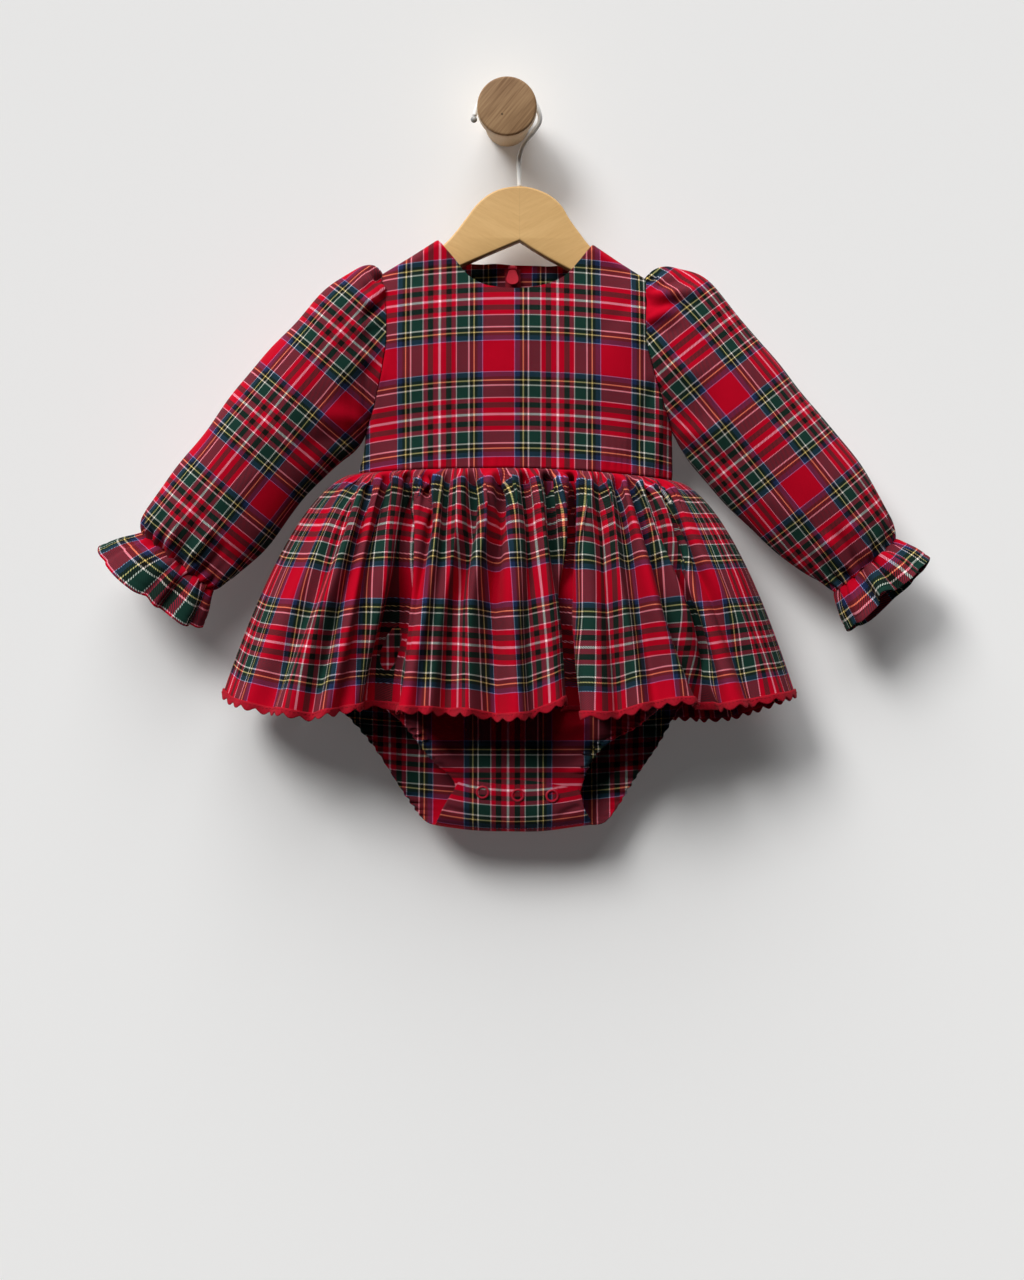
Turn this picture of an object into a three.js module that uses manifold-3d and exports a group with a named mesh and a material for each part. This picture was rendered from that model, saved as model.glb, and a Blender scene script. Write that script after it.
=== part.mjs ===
import * as THREE from "three";
import { mergeVertices } from "three/addons/utils/BufferGeometryUtils.js";
import Module from "manifold-3d";

// Driving sizes in mm. X is to the right, Y goes back to the wall at y = 0, Z is up.
const clothThick = 1.2;
const seamGap = 0.3;
const midY = -34;
const armholeGap = 0.8;
const laceAbove = 3.6;
const laceBelow = 2.6;
const laceThick = 0.8;
const laceGap = 0.5;
const scallopsPerHalf = 54;

// Small curve helpers
function lerp(a, b, t) {
  return a + (b - a) * t;
}

function clamp(x, lo, hi) {
  return Math.min(hi, Math.max(lo, x));
}

function smoothPair(values, i, t) {
  const n = values.length;
  const at = (k) => values[clamp(k, 0, n - 1)];
  const m0 = (at(i + 1) - at(i - 1)) / 2;
  const m1 = (at(i + 2) - at(i)) / 2;
  const t2 = t * t;
  const t3 = t2 * t;
  const nearer = (2 * t3 - 3 * t2 + 1) * at(i) + (t3 - 2 * t2 + t) * m0;
  return nearer + (3 * t2 - 2 * t3) * at(i + 1) + (t3 - t2) * m1;
}

// A row of numbers taken at place s from 0 to 1 along an evenly spaced table
function along(rows, key, s) {
  const p = clamp(s, 0, 1) * (rows.length - 1);
  const i = Math.min(Math.floor(p), rows.length - 2);
  return smoothPair(rows.map((r) => r[key]), i, p - i);
}

// A number read from a table by its first column, straight between the rows
function table(rows, column, x) {
  let i = 0;
  while (i < rows.length - 2 && x > rows[i + 1][0]) {
    i += 1;
  }
  const t = clamp((x - rows[i][0]) / (rows[i + 1][0] - rows[i][0]), 0, 1);
  return lerp(rows[i][column], rows[i + 1][column], t);
}

function vec(x, y, z) {
  return new THREE.Vector3(x, y, z);
}

// A closed wall of cloth from a grid of points on its outer side, and the way out at each point
function wallFromGrid(outer, outward, thick, ring) {
  const rows = outer.length;
  const cols = outer[0].length;
  const position = [];
  const index = [];
  for (let j = 0; j < rows; j += 1) {
    for (let i = 0; i < cols; i += 1) {
      position.push(outer[j][i].x, outer[j][i].y, outer[j][i].z);
    }
  }
  for (let j = 0; j < rows; j += 1) {
    for (let i = 0; i < cols; i += 1) {
      const q = outer[j][i].clone().addScaledVector(outward[j][i], -thick);
      position.push(q.x, q.y, q.z);
    }
  }
  const inside = rows * cols;
  const spans = ring ? cols : cols - 1;
  const quad = (a, b, c, d) => {
    index.push(a, b, c);
    index.push(a, c, d);
  };
  for (let j = 0; j < rows - 1; j += 1) {
    for (let i = 0; i < spans; i += 1) {
      const k = (i + 1) % cols;
      const a = j * cols + i;
      const b = j * cols + k;
      const c = (j + 1) * cols + k;
      const d = (j + 1) * cols + i;
      quad(a, d, c, b);
      quad(inside + a, inside + b, inside + c, inside + d);
    }
  }
  for (let i = 0; i < spans; i += 1) {
    const k = (i + 1) % cols;
    const last = (rows - 1) * cols;
    quad(i, k, inside + k, inside + i);
    quad(last + i, inside + last + i, inside + last + k, last + k);
  }
  if (!ring) {
    for (let j = 0; j < rows - 1; j += 1) {
      const a = j * cols;
      const d = (j + 1) * cols;
      quad(a, inside + a, inside + d, d);
      quad(a + cols - 1, d + cols - 1, inside + d + cols - 1, inside + a + cols - 1);
    }
  }
  const geometry = new THREE.BufferGeometry();
  geometry.setAttribute("position", new THREE.Float32BufferAttribute(position, 3));
  geometry.setIndex(index);
  return geometry;
}

// The way out of a surface at each grid point, from its neighbours
function outwardOf(grid, ring, flip) {
  const rows = grid.length;
  const cols = grid[0].length;
  return grid.map((row, j) => row.map((p, i) => {
    const left = ring ? row[(i + cols - 1) % cols] : row[Math.max(0, i - 1)];
    const right = ring ? row[(i + 1) % cols] : row[Math.min(cols - 1, i + 1)];
    const up = grid[Math.max(0, j - 1)][i];
    const down = grid[Math.min(rows - 1, j + 1)][i];
    const across = right.clone().sub(left);
    const fall = down.clone().sub(up);
    const out = fall.cross(across).normalize();
    return flip ? out.negate() : out;
  }));
}

function clothWall(name, colour, columns, rows, point, options = {}) {
  const grid = rows.map((v) => columns.map((u) => point(u, v)));
  const ring = options.ring ?? false;
  const outward = outwardOf(grid, ring, options.flip ?? false);
  if (options.square) {
    outward.forEach((row, j) => {
      row.forEach((out, i) => options.square(out, grid[j][i], columns[i], rows[j]));
    });
  }
  const geometry = wallFromGrid(grid, outward, options.thick ?? clothThick, ring);
  if (options.flip) {
    reverse(geometry);
  }
  return named(name, geometry, colour);
}

// At a seam the wall's edge stands square to the seam, so that two pieces keep their gap through the wall
function squareToFront(side) {
  return (out, p) => {
    const most = (midY + (side * seamGap) / 2 - p.y) / -clothThick;
    out.y = side < 0 ? Math.max(out.y, most) : Math.min(out.y, most);
    out.normalize();
    out.y = side < 0 ? Math.max(out.y, most) : Math.min(out.y, most);
  };
}

// Leaves out the part of the way out that runs along an axis
function squareToAxis(out, axis) {
  out.addScaledVector(axis, -out.dot(axis)).normalize();
}

function reverse(geometry) {
  const index = geometry.getIndex().array;
  for (let i = 0; i < index.length; i += 3) {
    const keep = index[i + 1];
    index[i + 1] = index[i + 2];
    index[i + 2] = keep;
  }
}

function named(name, geometry, colour) {
  const mesh = new THREE.Mesh(geometry, new THREE.MeshStandardMaterial({ color: colour }));
  mesh.name = name;
  return mesh;
}

function steps(count, power = 1) {
  return Array.from({ length: count + 1 }, (unused, i) => Math.pow(i / count, power));
}

const group = new THREE.Group();
const tartan = 0x9c1c2a;

// Bodice. Columns: height, left edge, right edge, front depth, back depth, armhole depth
const bodiceRows = [
  [117, -92, 101.3, 15, 15, 0],
  [130, -89.5, 101, 17, 16, 9],
  [147, -87.3, 100.7, 20, 18, 14],
  [168, -87.1, 100.5, 23, 20, 16],
  [193, -91.3, 107.1, 24, 21, 15],
  [215, -96.5, 114.5, 24.5, 22, 10],
  [232, -102.9, 120.3, 25, 22, 0],
  [245, -104, 120.3, 25.5, 22, 0],
  [268, -109.5, 120.3, 26, 23, 0],
];

// Shoulder line, with its straight carry across the neck. Columns: x, height
const shoulderLine = [
  [-92, -117.8],
  [-72, -106],
  [-50.7, -92.7],
  [62.7, -96.1],
  [82, -109],
  [101.3, -121],
];

// Neck edges. Columns: x, front height, back height
const neckLine = [
  [-50.7, -92.7, -92.7],
  [-44, -101, -98],
  [-37.7, -108.5, -103],
  [-27.5, -121.1, -107],
  [-20, -126, -107.6],
  [-8, -129, -107.2],
  [4, -129.8, -108.2],
  [20.2, -128.4, -108.6],
  [33, -125, -109],
  [42.6, -119.7, -107.6],
  [53, -108.5, -103],
  [62.7, -96.1, -96.1],
];

// Waist seam. Columns: x, height
const waistLine = [
  [-109.5, -262.9],
  [-77, -261.6],
  [-30, -260.6],
  [8.6, -260.5],
  [50, -262],
  [81.5, -264.3],
  [120.3, -268],
];

function sideX(column, z) {
  return table(bodiceRows, column, -z);
}

function pillow(x) {
  return Math.pow(Math.max(0, 1 - Math.pow(Math.abs(x), 2.4)), 0.48);
}

function bodicePoint(side, t, z) {
  const left = sideX(1, z);
  const right = sideX(2, z);
  const across = 2 * t - 1;
  const x = lerp(left, right, t);
  const depth = table(bodiceRows, side < 0 ? 3 : 4, -z);
  const edge = table(bodiceRows, 5, -z);
  const middle = pillow(across);
  const shoulderX = lerp(-92, 101.3, t);
  const inNeck = shoulderX > -50.7 && shoulderX < 62.7;
  const ridge = table(shoulderLine, 1, shoulderX);
  const bend = inNeck ? lerp(7, 20, Math.sin((Math.PI * (shoulderX + 50.7)) / 113.4)) : 7;
  const drop = clamp((ridge - z) / bend, 0, 1);
  const cap = Math.sqrt(1 - (1 - drop) * (1 - drop));
  const soft = side < 0 ? 0.7 * Math.sin(0.11 * x + 0.05 * z) * middle : 0;
  const y = midY + side * (seamGap / 2 + (edge + (depth - edge) * middle + soft) * cap);
  return vec(x, y, z);
}

function bodiceTop(side, t) {
  const x = lerp(-92, 101.3, t);
  if (x > -50.7 && x < 62.7) {
    return table(neckLine, side < 0 ? 1 : 2, x);
  }
  return table(shoulderLine, 1, x);
}

function bodicePanel(name, side, places, rows) {
  const point = (t, b) => {
    const bottom = table(waistLine, 1, lerp(-109.5, 120.3, t)) + seamGap / 2;
    return bodicePoint(side, t, lerp(bodiceTop(side, t), bottom, b));
  };
  const atSeam = squareToFront(side);
  const square = (out, p, t) => {
    atSeam(out, p);
    if (side > 0 && Math.abs(t - middleBack) < 0.01) {
      out.x = 0;
      out.normalize();
    }
  };
  return clothWall(name, tartan, places, rows, point, { flip: side > 0, square });
}

const neckLeft = (-50.7 + 92) / 193.3;
const neckRight = (62.7 + 92) / 193.3;
const frontPlaces = [
  0, 0.006, 0.025, 0.06, 0.11, 0.165, neckLeft, 0.25, 0.285, 0.335, 0.38, 0.44,
  0.5, 0.58, 0.65, 0.7, 0.745, neckRight, 0.85, 0.9, 0.945, 0.978, 0.994, 1,
];
const middleBack = 0.4965;
const backLeftPlaces = frontPlaces.filter((t) => t < 0.47).concat([middleBack - 0.0012]);
const backRightPlaces = [middleBack + 0.0012].concat(frontPlaces.filter((t) => t > 0.52));
const bodiceSteps = [0, 0.004, 0.018, 0.045, 0.09, 0.16, 0.26, 0.38, 0.52, 0.68, 0.84, 1];
group.add(bodicePanel("bodice_front", -1, frontPlaces, bodiceSteps));
group.add(bodicePanel("bodice_back_left", 1, backLeftPlaces, bodiceSteps));
group.add(bodicePanel("bodice_back_right", 1, backRightPlaces, bodiceSteps));

const wristAxisLeft = vec(-0.625, 0, -0.78);
const wristAxisRight = vec(0.659, 0, -0.752);

// Sleeves. Columns: upper x, upper height, lower x, lower height, half depth, middle y, pleat depth
const sleeveLeftRows = [
  { ux: -92, uz: -117.9, lx: -102.9, lz: -232.3, d: 16, y: -34, pleat: 0 },
  { ux: -101, uz: -111.5, lx: -107.5, lz: -240, d: 19.5, y: -34, pleat: 2.4 },
  { ux: -114, uz: -116.5, lx: -111.5, lz: -245, d: 22, y: -34, pleat: 2.4 },
  { ux: -133, uz: -130.9, lx: -115.5, lz: -249, d: 24, y: -35, pleat: 1.6 },
  { ux: -159, uz: -159.3, lx: -121, lz: -253.5, d: 25.5, y: -35, pleat: 0.9 },
  { ux: -189.7, uz: -193.6, lx: -132, lz: -263.5, d: 26, y: -35.5, pleat: 0.6 },
  { ux: -212.7, uz: -224.3, lx: -149, lz: -280, d: 25.5, y: -36, pleat: 0.7 },
  { ux: -237.5, uz: -256.3, lx: -172.2, lz: -312.5, d: 24, y: -36, pleat: 0.9 },
  { ux: -257.5, uz: -282.5, lx: -196, lz: -335.5, d: 22, y: -36, pleat: 1.3 },
  { ux: -264.8, uz: -295.5, lx: -207, lz: -342.5, d: 17.5, y: -36, pleat: 1.8 },
  { ux: -263.4, uz: -307.2, lx: -215.6, lz: -345.5, d: 10.5, y: -36, pleat: 1 },
];

const sleeveRightRows = [
  { ux: 101.3, uz: -121.1, lx: 120.3, lz: -231.5, d: 16, y: -34, pleat: 0 },
  { ux: 112, uz: -112.5, lx: 124.5, lz: -240, d: 19.5, y: -34, pleat: 2.4 },
  { ux: 125, uz: -113.5, lx: 129, lz: -247, d: 22, y: -34, pleat: 2.6 },
  { ux: 145, uz: -122.5, lx: 134.5, lz: -255, d: 24, y: -35, pleat: 1.8 },
  { ux: 170, uz: -152, lx: 145, lz: -267.5, d: 26, y: -35, pleat: 1 },
  { ux: 199, uz: -185.5, lx: 161, lz: -285.5, d: 26.5, y: -35.5, pleat: 0.6 },
  { ux: 225.4, uz: -218.4, lx: 179, lz: -303, d: 26, y: -36, pleat: 0.7 },
  { ux: 247, uz: -244.5, lx: 199, lz: -321.5, d: 24.5, y: -36, pleat: 0.9 },
  { ux: 266, uz: -272, lx: 218, lz: -335, d: 22, y: -36, pleat: 1.3 },
  { ux: 277.5, uz: -296, lx: 231, lz: -342, d: 17, y: -36, pleat: 1.8 },
  { ux: 280.5, uz: -312, lx: 240, lz: -347.5, d: 10.5, y: -36.5, pleat: 1 },
];

function ringPoint(row, turn, pleats, phase) {
  const c = Math.cos(turn);
  const s = Math.sin(turn);
  const crease = 1 + (row.pleat / 24) * Math.cos(pleats * turn + phase);
  const half = Math.sign(c) * Math.pow(Math.abs(c), 0.86) * (0.5 + 0.5 * crease);
  const x = lerp(row.ux, row.lx, 0.5 - half / 2);
  const z = lerp(row.uz, row.lz, 0.5 - half / 2);
  const y = row.y - Math.sign(s) * Math.pow(Math.abs(s), 0.9) * row.d * crease;
  return vec(x, y, z);
}

function rowAt(rows, s) {
  const keys = Object.keys(rows[0]);
  return Object.fromEntries(keys.map((key) => [key, along(rows, key, s)]));
}

// The armhole end of a sleeve follows the edges of the bodice panels
function armholePoint(left, turn) {
  const side = Math.sin(turn) >= 0 ? -1 : 1;
  const top = left ? -117.9 : -121.1;
  const bottom = left ? -232 : -231.5;
  const z = lerp(top, bottom, 0.5 - Math.cos(turn) / 2);
  const p = bodicePoint(side, left ? 0 : 1, z);
  p.x += left ? -armholeGap : armholeGap;
  return p;
}

function sleeve(name, rows, left) {
  const point = (u, v) => {
    const turn = 2 * Math.PI * u;
    if (v < 0.001) {
      return armholePoint(left, turn);
    }
    return ringPoint(rowAt(rows, v), turn, 9, left ? 0.6 : 1.9);
  };
  const around = Array.from({ length: 26 }, (unused, i) => i / 26);
  const down = [0, 0.05, 0.1, 0.2, 0.32, 0.46, 0.6, 0.74, 0.85, 0.93, 1];
  const square = (out, p, u, v) => {
    if (v < 0.001) {
      squareToAxis(out, vec(1, 0, 0));
    }
    if (v > 0.999) {
      squareToAxis(out, left ? wristAxisLeft : wristAxisRight);
    }
  };
  return clothWall(name, tartan, around, down, point, { ring: true, flip: left, square });
}

group.add(sleeve("sleeve_left", sleeveLeftRows, true));
group.add(sleeve("sleeve_right", sleeveRightRows, false));

// Cuffs, from the wrist to the frill's edge
const cuffLeftRows = [
  { ux: -263.7, uz: -307.6, lx: -215.9, lz: -345.9, d: 10.5, y: -36, wave: 0.5 },
  { ux: -268.5, uz: -308.6, lx: -216.6, lz: -350.5, d: 12.5, y: -36.5, wave: 1.4 },
  { ux: -281, uz: -311.5, lx: -218.5, lz: -360.5, d: 15.5, y: -37, wave: 2.4 },
  { ux: -295, uz: -317, lx: -223, lz: -373, d: 18, y: -38, wave: 3.2 },
];

const cuffRightRows = [
  { ux: 280.8, uz: -312.4, lx: 240.3, lz: -347.9, d: 10.5, y: -36.5, wave: 0.5 },
  { ux: 286.5, uz: -314, lx: 240.5, lz: -353.5, d: 12.5, y: -36.5, wave: 1.4 },
  { ux: 297, uz: -319, lx: 243.5, lz: -364.5, d: 15.5, y: -37, wave: 2.4 },
  { ux: 306, uz: -325.5, lx: 248.5, lz: -375.5, d: 18, y: -38, wave: 3.2 },
];

function cuff(name, rows, left) {
  const point = (u, v) => {
    const turn = 2 * Math.PI * u;
    const row = rowAt(rows, v);
    const wave = row.wave * Math.cos(8 * turn + (left ? 0.4 : 2.1));
    const centre = vec((row.ux + row.lx) / 2, row.y, (row.uz + row.lz) / 2);
    const p = ringPoint({ ...row, pleat: 0 }, turn, 0, 0);
    const out = p.clone().sub(centre).normalize();
    return p.addScaledVector(out, wave);
  };
  const around = Array.from({ length: 40 }, (unused, i) => i / 40);
  const square = (out, p, u, v) => {
    if (v < 0.001) {
      squareToAxis(out, left ? wristAxisLeft : wristAxisRight);
    }
  };
  return clothWall(name, tartan, around, steps(3, 0.8), point, { ring: true, flip: left, square });
}

group.add(cuff("cuff_left", cuffLeftRows, true));
group.add(cuff("cuff_right", cuffRightRows, false));

// Skirt folds, a row for each crest and trough from the left side seam to the right one.
// Columns: place at the waist, place at the hem, hem y, hem height, depth of the gather under the seam
const frontFolds = [
  { wx: -108.2, hx: -206, hy: -42, hz: -422.5, g: 1 },
  { wx: -106, hx: -197, hy: -54, hz: -428.5, g: 4 },
  { wx: -101, hx: -180, hy: -68, hz: -432.5, g: 5.5 },
  { wx: -97, hx: -162, hy: -80, hz: -435, g: 4 },
  { wx: -94, hx: -144, hy: -87, hz: -437.5, g: -1.5 },
  { wx: -90, hx: -126, hy: -89, hz: -436, g: 3.5 },
  { wx: -84, hx: -112, hy: -82, hz: -432.8, g: 5 },
  { wx: -76, hx: -99, hy: -67, hz: -431.5, g: -1.5 },
  { wx: -69, hx: -87, hy: -57, hz: -431.5, g: 4.5 },
  { wx: -62, hx: -81, hy: -64, hz: -432.5, g: -2 },
  { wx: -57, hx: -79, hy: -78, hz: -433.5, g: 5 },
  { wx: -50, hx: -72, hy: -88, hz: -434, g: 2 },
  { wx: -43, hx: -56, hy: -88, hz: -434, g: -1.5 },
  { wx: -35, hx: -38, hy: -86, hz: -434.8, g: 5 },
  { wx: -26, hx: -21, hy: -88, hz: -436.3, g: -1 },
  { wx: -17, hx: -6, hy: -91, hz: -438.4, g: 5 },
  { wx: -8, hx: 7, hy: -91, hz: -438.6, g: -2 },
  { wx: 2, hx: 19, hy: -88, hz: -436.5, g: 5 },
  { wx: 13, hx: 30, hy: -80, hz: -431.5, g: 3 },
  { wx: 24, hx: 40, hy: -74, hz: -427, g: 4 },
  { wx: 33, hx: 48, hy: -68, hz: -430, g: -2 },
  { wx: 41, hx: 54, hy: -62, hz: -434.5, g: 4 },
  { wx: 48, hx: 58, hy: -70, hz: -437, g: -2 },
  { wx: 55, hx: 61, hy: -84, hz: -437.5, g: 4.5 },
  { wx: 62, hx: 72, hy: -89, hz: -437.5, g: -1.5 },
  { wx: 70, hx: 90, hy: -88, hz: -433.5, g: 4.5 },
  { wx: 78, hx: 108, hy: -87, hz: -429, g: -1.5 },
  { wx: 85, hx: 125, hy: -84, hz: -427.5, g: 4.5 },
  { wx: 92, hx: 136, hy: -75, hz: -428.5, g: 0 },
  { wx: 99, hx: 143, hy: -62, hz: -431.5, g: 4 },
  { wx: 104, hx: 150, hy: -70, hz: -432.5, g: -1 },
  { wx: 109, hx: 164, hy: -75, hz: -430, g: 4 },
  { wx: 114, hx: 184, hy: -66, hz: -427, g: 4 },
  { wx: 117.5, hx: 202, hy: -54, hz: -424.5, g: 3 },
  { wx: 119.2, hx: 209, hy: -42, hz: -422.8, g: 1 },
];

const backFolds = [
  { wx: 119.2, hx: 209, hy: -41.7, hz: -422.8, g: 1 },
  { wx: 117, hx: 203, hy: -29, hz: -427, g: 4 },
  { wx: 112, hx: 186, hy: -18, hz: -434, g: 3 },
  { wx: 103, hx: 168, hy: -11, hz: -440, g: 5 },
  { wx: 94, hx: 153, hy: -17, hz: -441.5, g: -1 },
  { wx: 85, hx: 138, hy: -24, hz: -441, g: 4 },
  { wx: 75, hx: 120, hy: -13, hz: -440, g: -1 },
  { wx: 64, hx: 101, hy: -8, hz: -439, g: 5 },
  { wx: 53, hx: 84, hy: -11, hz: -437, g: -1.5 },
  { wx: 41, hx: 68, hy: -17, hz: -436, g: 4.5 },
  { wx: 30, hx: 50, hy: -9, hz: -436, g: -1 },
  { wx: 19, hx: 31, hy: -7, hz: -436, g: 4.5 },
  { wx: 8, hx: 13, hy: -12, hz: -436, g: -1 },
  { wx: -3, hx: -5, hy: -9, hz: -436, g: 4 },
  { wx: -14, hx: -23, hy: -7, hz: -436, g: -1.5 },
  { wx: -26, hx: -41, hy: -14, hz: -436, g: 5 },
  { wx: -37, hx: -58, hy: -8, hz: -435.5, g: -1 },
  { wx: -48, hx: -77, hy: -7, hz: -434.5, g: 4.5 },
  { wx: -59, hx: -96, hy: -13, hz: -433.5, g: -1.5 },
  { wx: -70, hx: -114, hy: -20, hz: -432.5, g: 4.5 },
  { wx: -80, hx: -133, hy: -10, hz: -431, g: -1 },
  { wx: -89, hx: -152, hy: -8, hz: -429.5, g: 4.5 },
  { wx: -97, hx: -171, hy: -13, hz: -428, g: 1 },
  { wx: -103, hx: -188, hy: -19, hz: -426, g: 4 },
  { wx: -106.5, hx: -200, hy: -29, hz: -424, g: 3 },
  { wx: -108.2, hx: -206, hy: -41.7, hz: -422.5, g: 1 },
];

// The ring that the bodice, skirt and bloomers share at the waist, at a place x and a distance out
function waistRing(side, x, out) {
  const left = -109.5 - out;
  const right = 120.3 + out;
  const t = clamp((x - left) / (right - left), 0, 1);
  const depth = (side < 0 ? 26 : 23) + out;
  const y = midY + side * (seamGap / 2 + depth * pillow(2 * t - 1));
  return vec(x, y, table(waistLine, 1, x) - seamGap / 2);
}

function skirtPoint(side, folds, u, v) {
  const out = 0.6;
  const row = rowAt(folds, u);
  const reach = Math.pow(v + 0.0001, 0.55);
  const waist = waistRing(side, row.wx, out);
  const swell = 5 * Math.sin(Math.PI * Math.min(1, v * 1.25));
  const gather = row.g * Math.min(1, v / 0.035) * Math.exp(-Math.pow(v / 0.5, 2));
  const x = lerp(waist.x, row.hx, reach);
  const rim = Math.min(1, 24 * u * (1 - u));
  const puff = side * (swell - gather * 0.9 + 2) * rim * Math.min(1, v * 20);
  const y = lerp(waist.y, row.hy, Math.pow(reach, 1.15)) + puff;
  const z = lerp(waist.z, row.hz, v);
  return vec(x, y, z);
}

const skirtDown = [0, 0.02, 0.06, 0.13, 0.24, 0.42, 0.7, 1];
const hemPlaces = steps(scallopsPerHalf);

function skirtPanel(name, side, folds) {
  const trim = 0.15 / 595;
  const places = hemPlaces.map((u) => clamp(u, trim, 1 - trim));
  return clothWall(name, tartan, places, skirtDown, (u, v) => skirtPoint(side, folds, u, v), {
    square: (out, p, u) => {
      if (u < 0.01 || u > 0.99) {
        out.y = 0;
        out.normalize();
      }
    },
  });
}

group.add(skirtPanel("skirt_front", -1, frontFolds));
group.add(skirtPanel("skirt_back", 1, backFolds));

// Hem lace: a strip of picots laid on the hem's own points, moved out, with its lower edge in scallops
function hemLace(name, side, folds) {
  const trim = 0.15 / 595;
  const places = hemPlaces.map((u) => clamp(u, trim, 1 - trim));
  const grid = [0.7, 1].map((v) => places.map((u) => skirtPoint(side, folds, u, v)));
  const outward = outwardOf(grid, false, false);
  const upper = [];
  const lower = [];
  const ways = [];
  for (let k = 0; k <= 2 * scallopsPerHalf; k += 1) {
    const i = Math.floor(k / 2);
    const half = k % 2;
    const next = Math.min(i + half, scallopsPerHalf);
    const hem = grid[1][i].clone().lerp(grid[1][next], half ? 0.5 : 0);
    const above = grid[0][i].clone().lerp(grid[0][next], half ? 0.5 : 0);
    const way = outward[1][i].clone().lerp(outward[1][next], half ? 0.5 : 0).normalize();
    const fall = hem.clone().sub(above).normalize();
    const raised = hem.clone().addScaledVector(way, laceGap + laceThick);
    upper.push(raised.clone().addScaledVector(fall, -laceAbove));
    lower.push(raised.clone().addScaledVector(fall, half ? laceBelow : 0.4));
    ways.push(way);
  }
  const geometry = wallFromGrid([upper, lower], [ways, ways], laceThick, false);
  return named(name, geometry, 0xcd192d);
}

group.add(hemLace("hem_lace_front", -1, frontFolds));
group.add(hemLace("hem_lace_back", 1, backFolds));

// Bloomers. Each row is a line across, from the left edge to the right edge.
// Columns: left x, left height, right x, right height, edge y, bulge in y at the middle, drop at the middle
const bloomerFrontRows = [
  { lx: -106.5, lz: -263.4, rx: 117.5, rz: -268.4, y: -34.15, b: -23.6, m: -3.6 },
  { lx: -116, lz: -300, rx: 127, rz: -302, y: -34.15, b: -19, m: 0 },
  { lx: -130, lz: -345, rx: 136, rz: -346, y: -34.15, b: -16, m: 0 },
  { lx: -146, lz: -395, rx: 143.5, rz: -396, y: -34.15, b: -14, m: 0 },
  { lx: -126, lz: -411, rx: 133, rz: -414, y: -37, b: -11.5, m: 2 },
  { lx: -102, lz: -425.5, rx: 114, rz: -431, y: -40, b: -9.5, m: 3 },
  { lx: -79, lz: -441.5, rx: 95.5, rz: -446.5, y: -43, b: -8, m: 3 },
  { lx: -65, lz: -458, rx: 76, rz: -457, y: -45, b: -5.5, m: 2 },
  { lx: -54.5, lz: -471, rx: 62.5, rz: -470, y: -46, b: -4.2, m: 1 },
  { lx: -39.5, lz: -484.5, rx: 55.5, rz: -485.5, y: -47, b: -2.6, m: 0 },
  { lx: -36.5, lz: -498, rx: 52.5, rz: -498, y: -47.3, b: -1.5, m: 0 },
  { lx: -35.5, lz: -507, rx: 51.5, rz: -507, y: -46.6, b: -1, m: 0 },
];

const bloomerBackRows = [
  { lx: -106.5, lz: -263.4, rx: 117.5, rz: -268.4, y: -33.85, b: 20.6, m: -3.6 },
  { lx: -116, lz: -300, rx: 127, rz: -302, y: -33.85, b: 19, m: 0 },
  { lx: -130, lz: -345, rx: 136, rz: -346, y: -33.85, b: 17, m: 0 },
  { lx: -146, lz: -395, rx: 143.5, rz: -396, y: -33.85, b: 13, m: 0 },
  { lx: -131.5, lz: -420, rx: 132.5, rz: -423, y: -31, b: 9.5, m: 0 },
  { lx: -120.5, lz: -435.5, rx: 120, rz: -444, y: -29, b: 8, m: 0 },
  { lx: -107, lz: -450.5, rx: 110.5, rz: -461, y: -27.5, b: 7, m: 0 },
  { lx: -94, lz: -467.5, rx: 101, rz: -475, y: -26.5, b: 6.5, m: 0 },
  { lx: -80.5, lz: -489, rx: 91.5, rz: -489, y: -26, b: 6, m: 0 },
  { lx: -69.5, lz: -505, rx: 82.5, rz: -504, y: -26.5, b: 4, m: -3 },
  { lx: -61, lz: -515.5, rx: 72, rz: -517, y: -29.5, b: 2, m: -5 },
  { lx: -53, lz: -518.5, rx: 61, rz: -518.5, y: -37.5, b: 0.5, m: -5 },
  { lx: -50.5, lz: -514.5, rx: 60.5, rz: -514, y: -47, b: -0.5, m: -3.5 },
  { lx: -46.5, lz: -505.5, rx: 56, rz: -506, y: -50.6, b: -1.5, m: -1 },
  { lx: -41.5, lz: -497, rx: 54, rz: -497.5, y: -51.2, b: -2, m: 1 },
  { lx: -35, lz: -486.5, rx: 52, rz: -492, y: -51.2, b: -2.4, m: 4.5 },
];

function bloomerPoint(rows, u, v, gatherFrom) {
  const row = rowAt(rows, v);
  const across = 2 * u - 1;
  const belly = pillow(across);
  const edge = Math.pow(Math.abs(across), 10);
  const frill = v > gatherFrom ? 0.9 * edge * Math.sin(150 * v) : 0;
  const x = lerp(row.lx, row.rx, u);
  const y = row.y + row.b * belly + frill;
  const z = lerp(row.lz, row.rz, u) + row.m * (1 - across * across);
  return vec(x, y, z);
}

const bloomerAcross = [
  0, 0.008, 0.03, 0.07, 0.13, 0.2, 0.29, 0.39, 0.5, 0.61, 0.71, 0.8, 0.87, 0.93, 0.97, 0.992, 1,
];
function squareAboveLegs(side, legStart) {
  const atSeam = squareToFront(side);
  return (out, p, u, v) => {
    if (v < legStart) {
      atSeam(out, p);
    }
  };
}

const frontDown = steps(13);
const backDown = steps(20);
group.add(clothWall(
  "bloomer_front", tartan, bloomerAcross, frontDown,
  (u, v) => bloomerPoint(bloomerFrontRows, u, v, 0.36),
  { square: squareAboveLegs(-1, 0.28) },
));
group.add(clothWall(
  "bloomer_back", tartan, bloomerAcross, backDown,
  (u, v) => bloomerPoint(bloomerBackRows, u, v, 0.27),
  { flip: true, square: squareAboveLegs(1, 0.21) },
));

// Ring of a press snap: a low turned ring that leaves the cloth open in its middle
const snapOuter = 4.8;
const snapInner = 3.3;
const snapHeight = 1;

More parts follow.
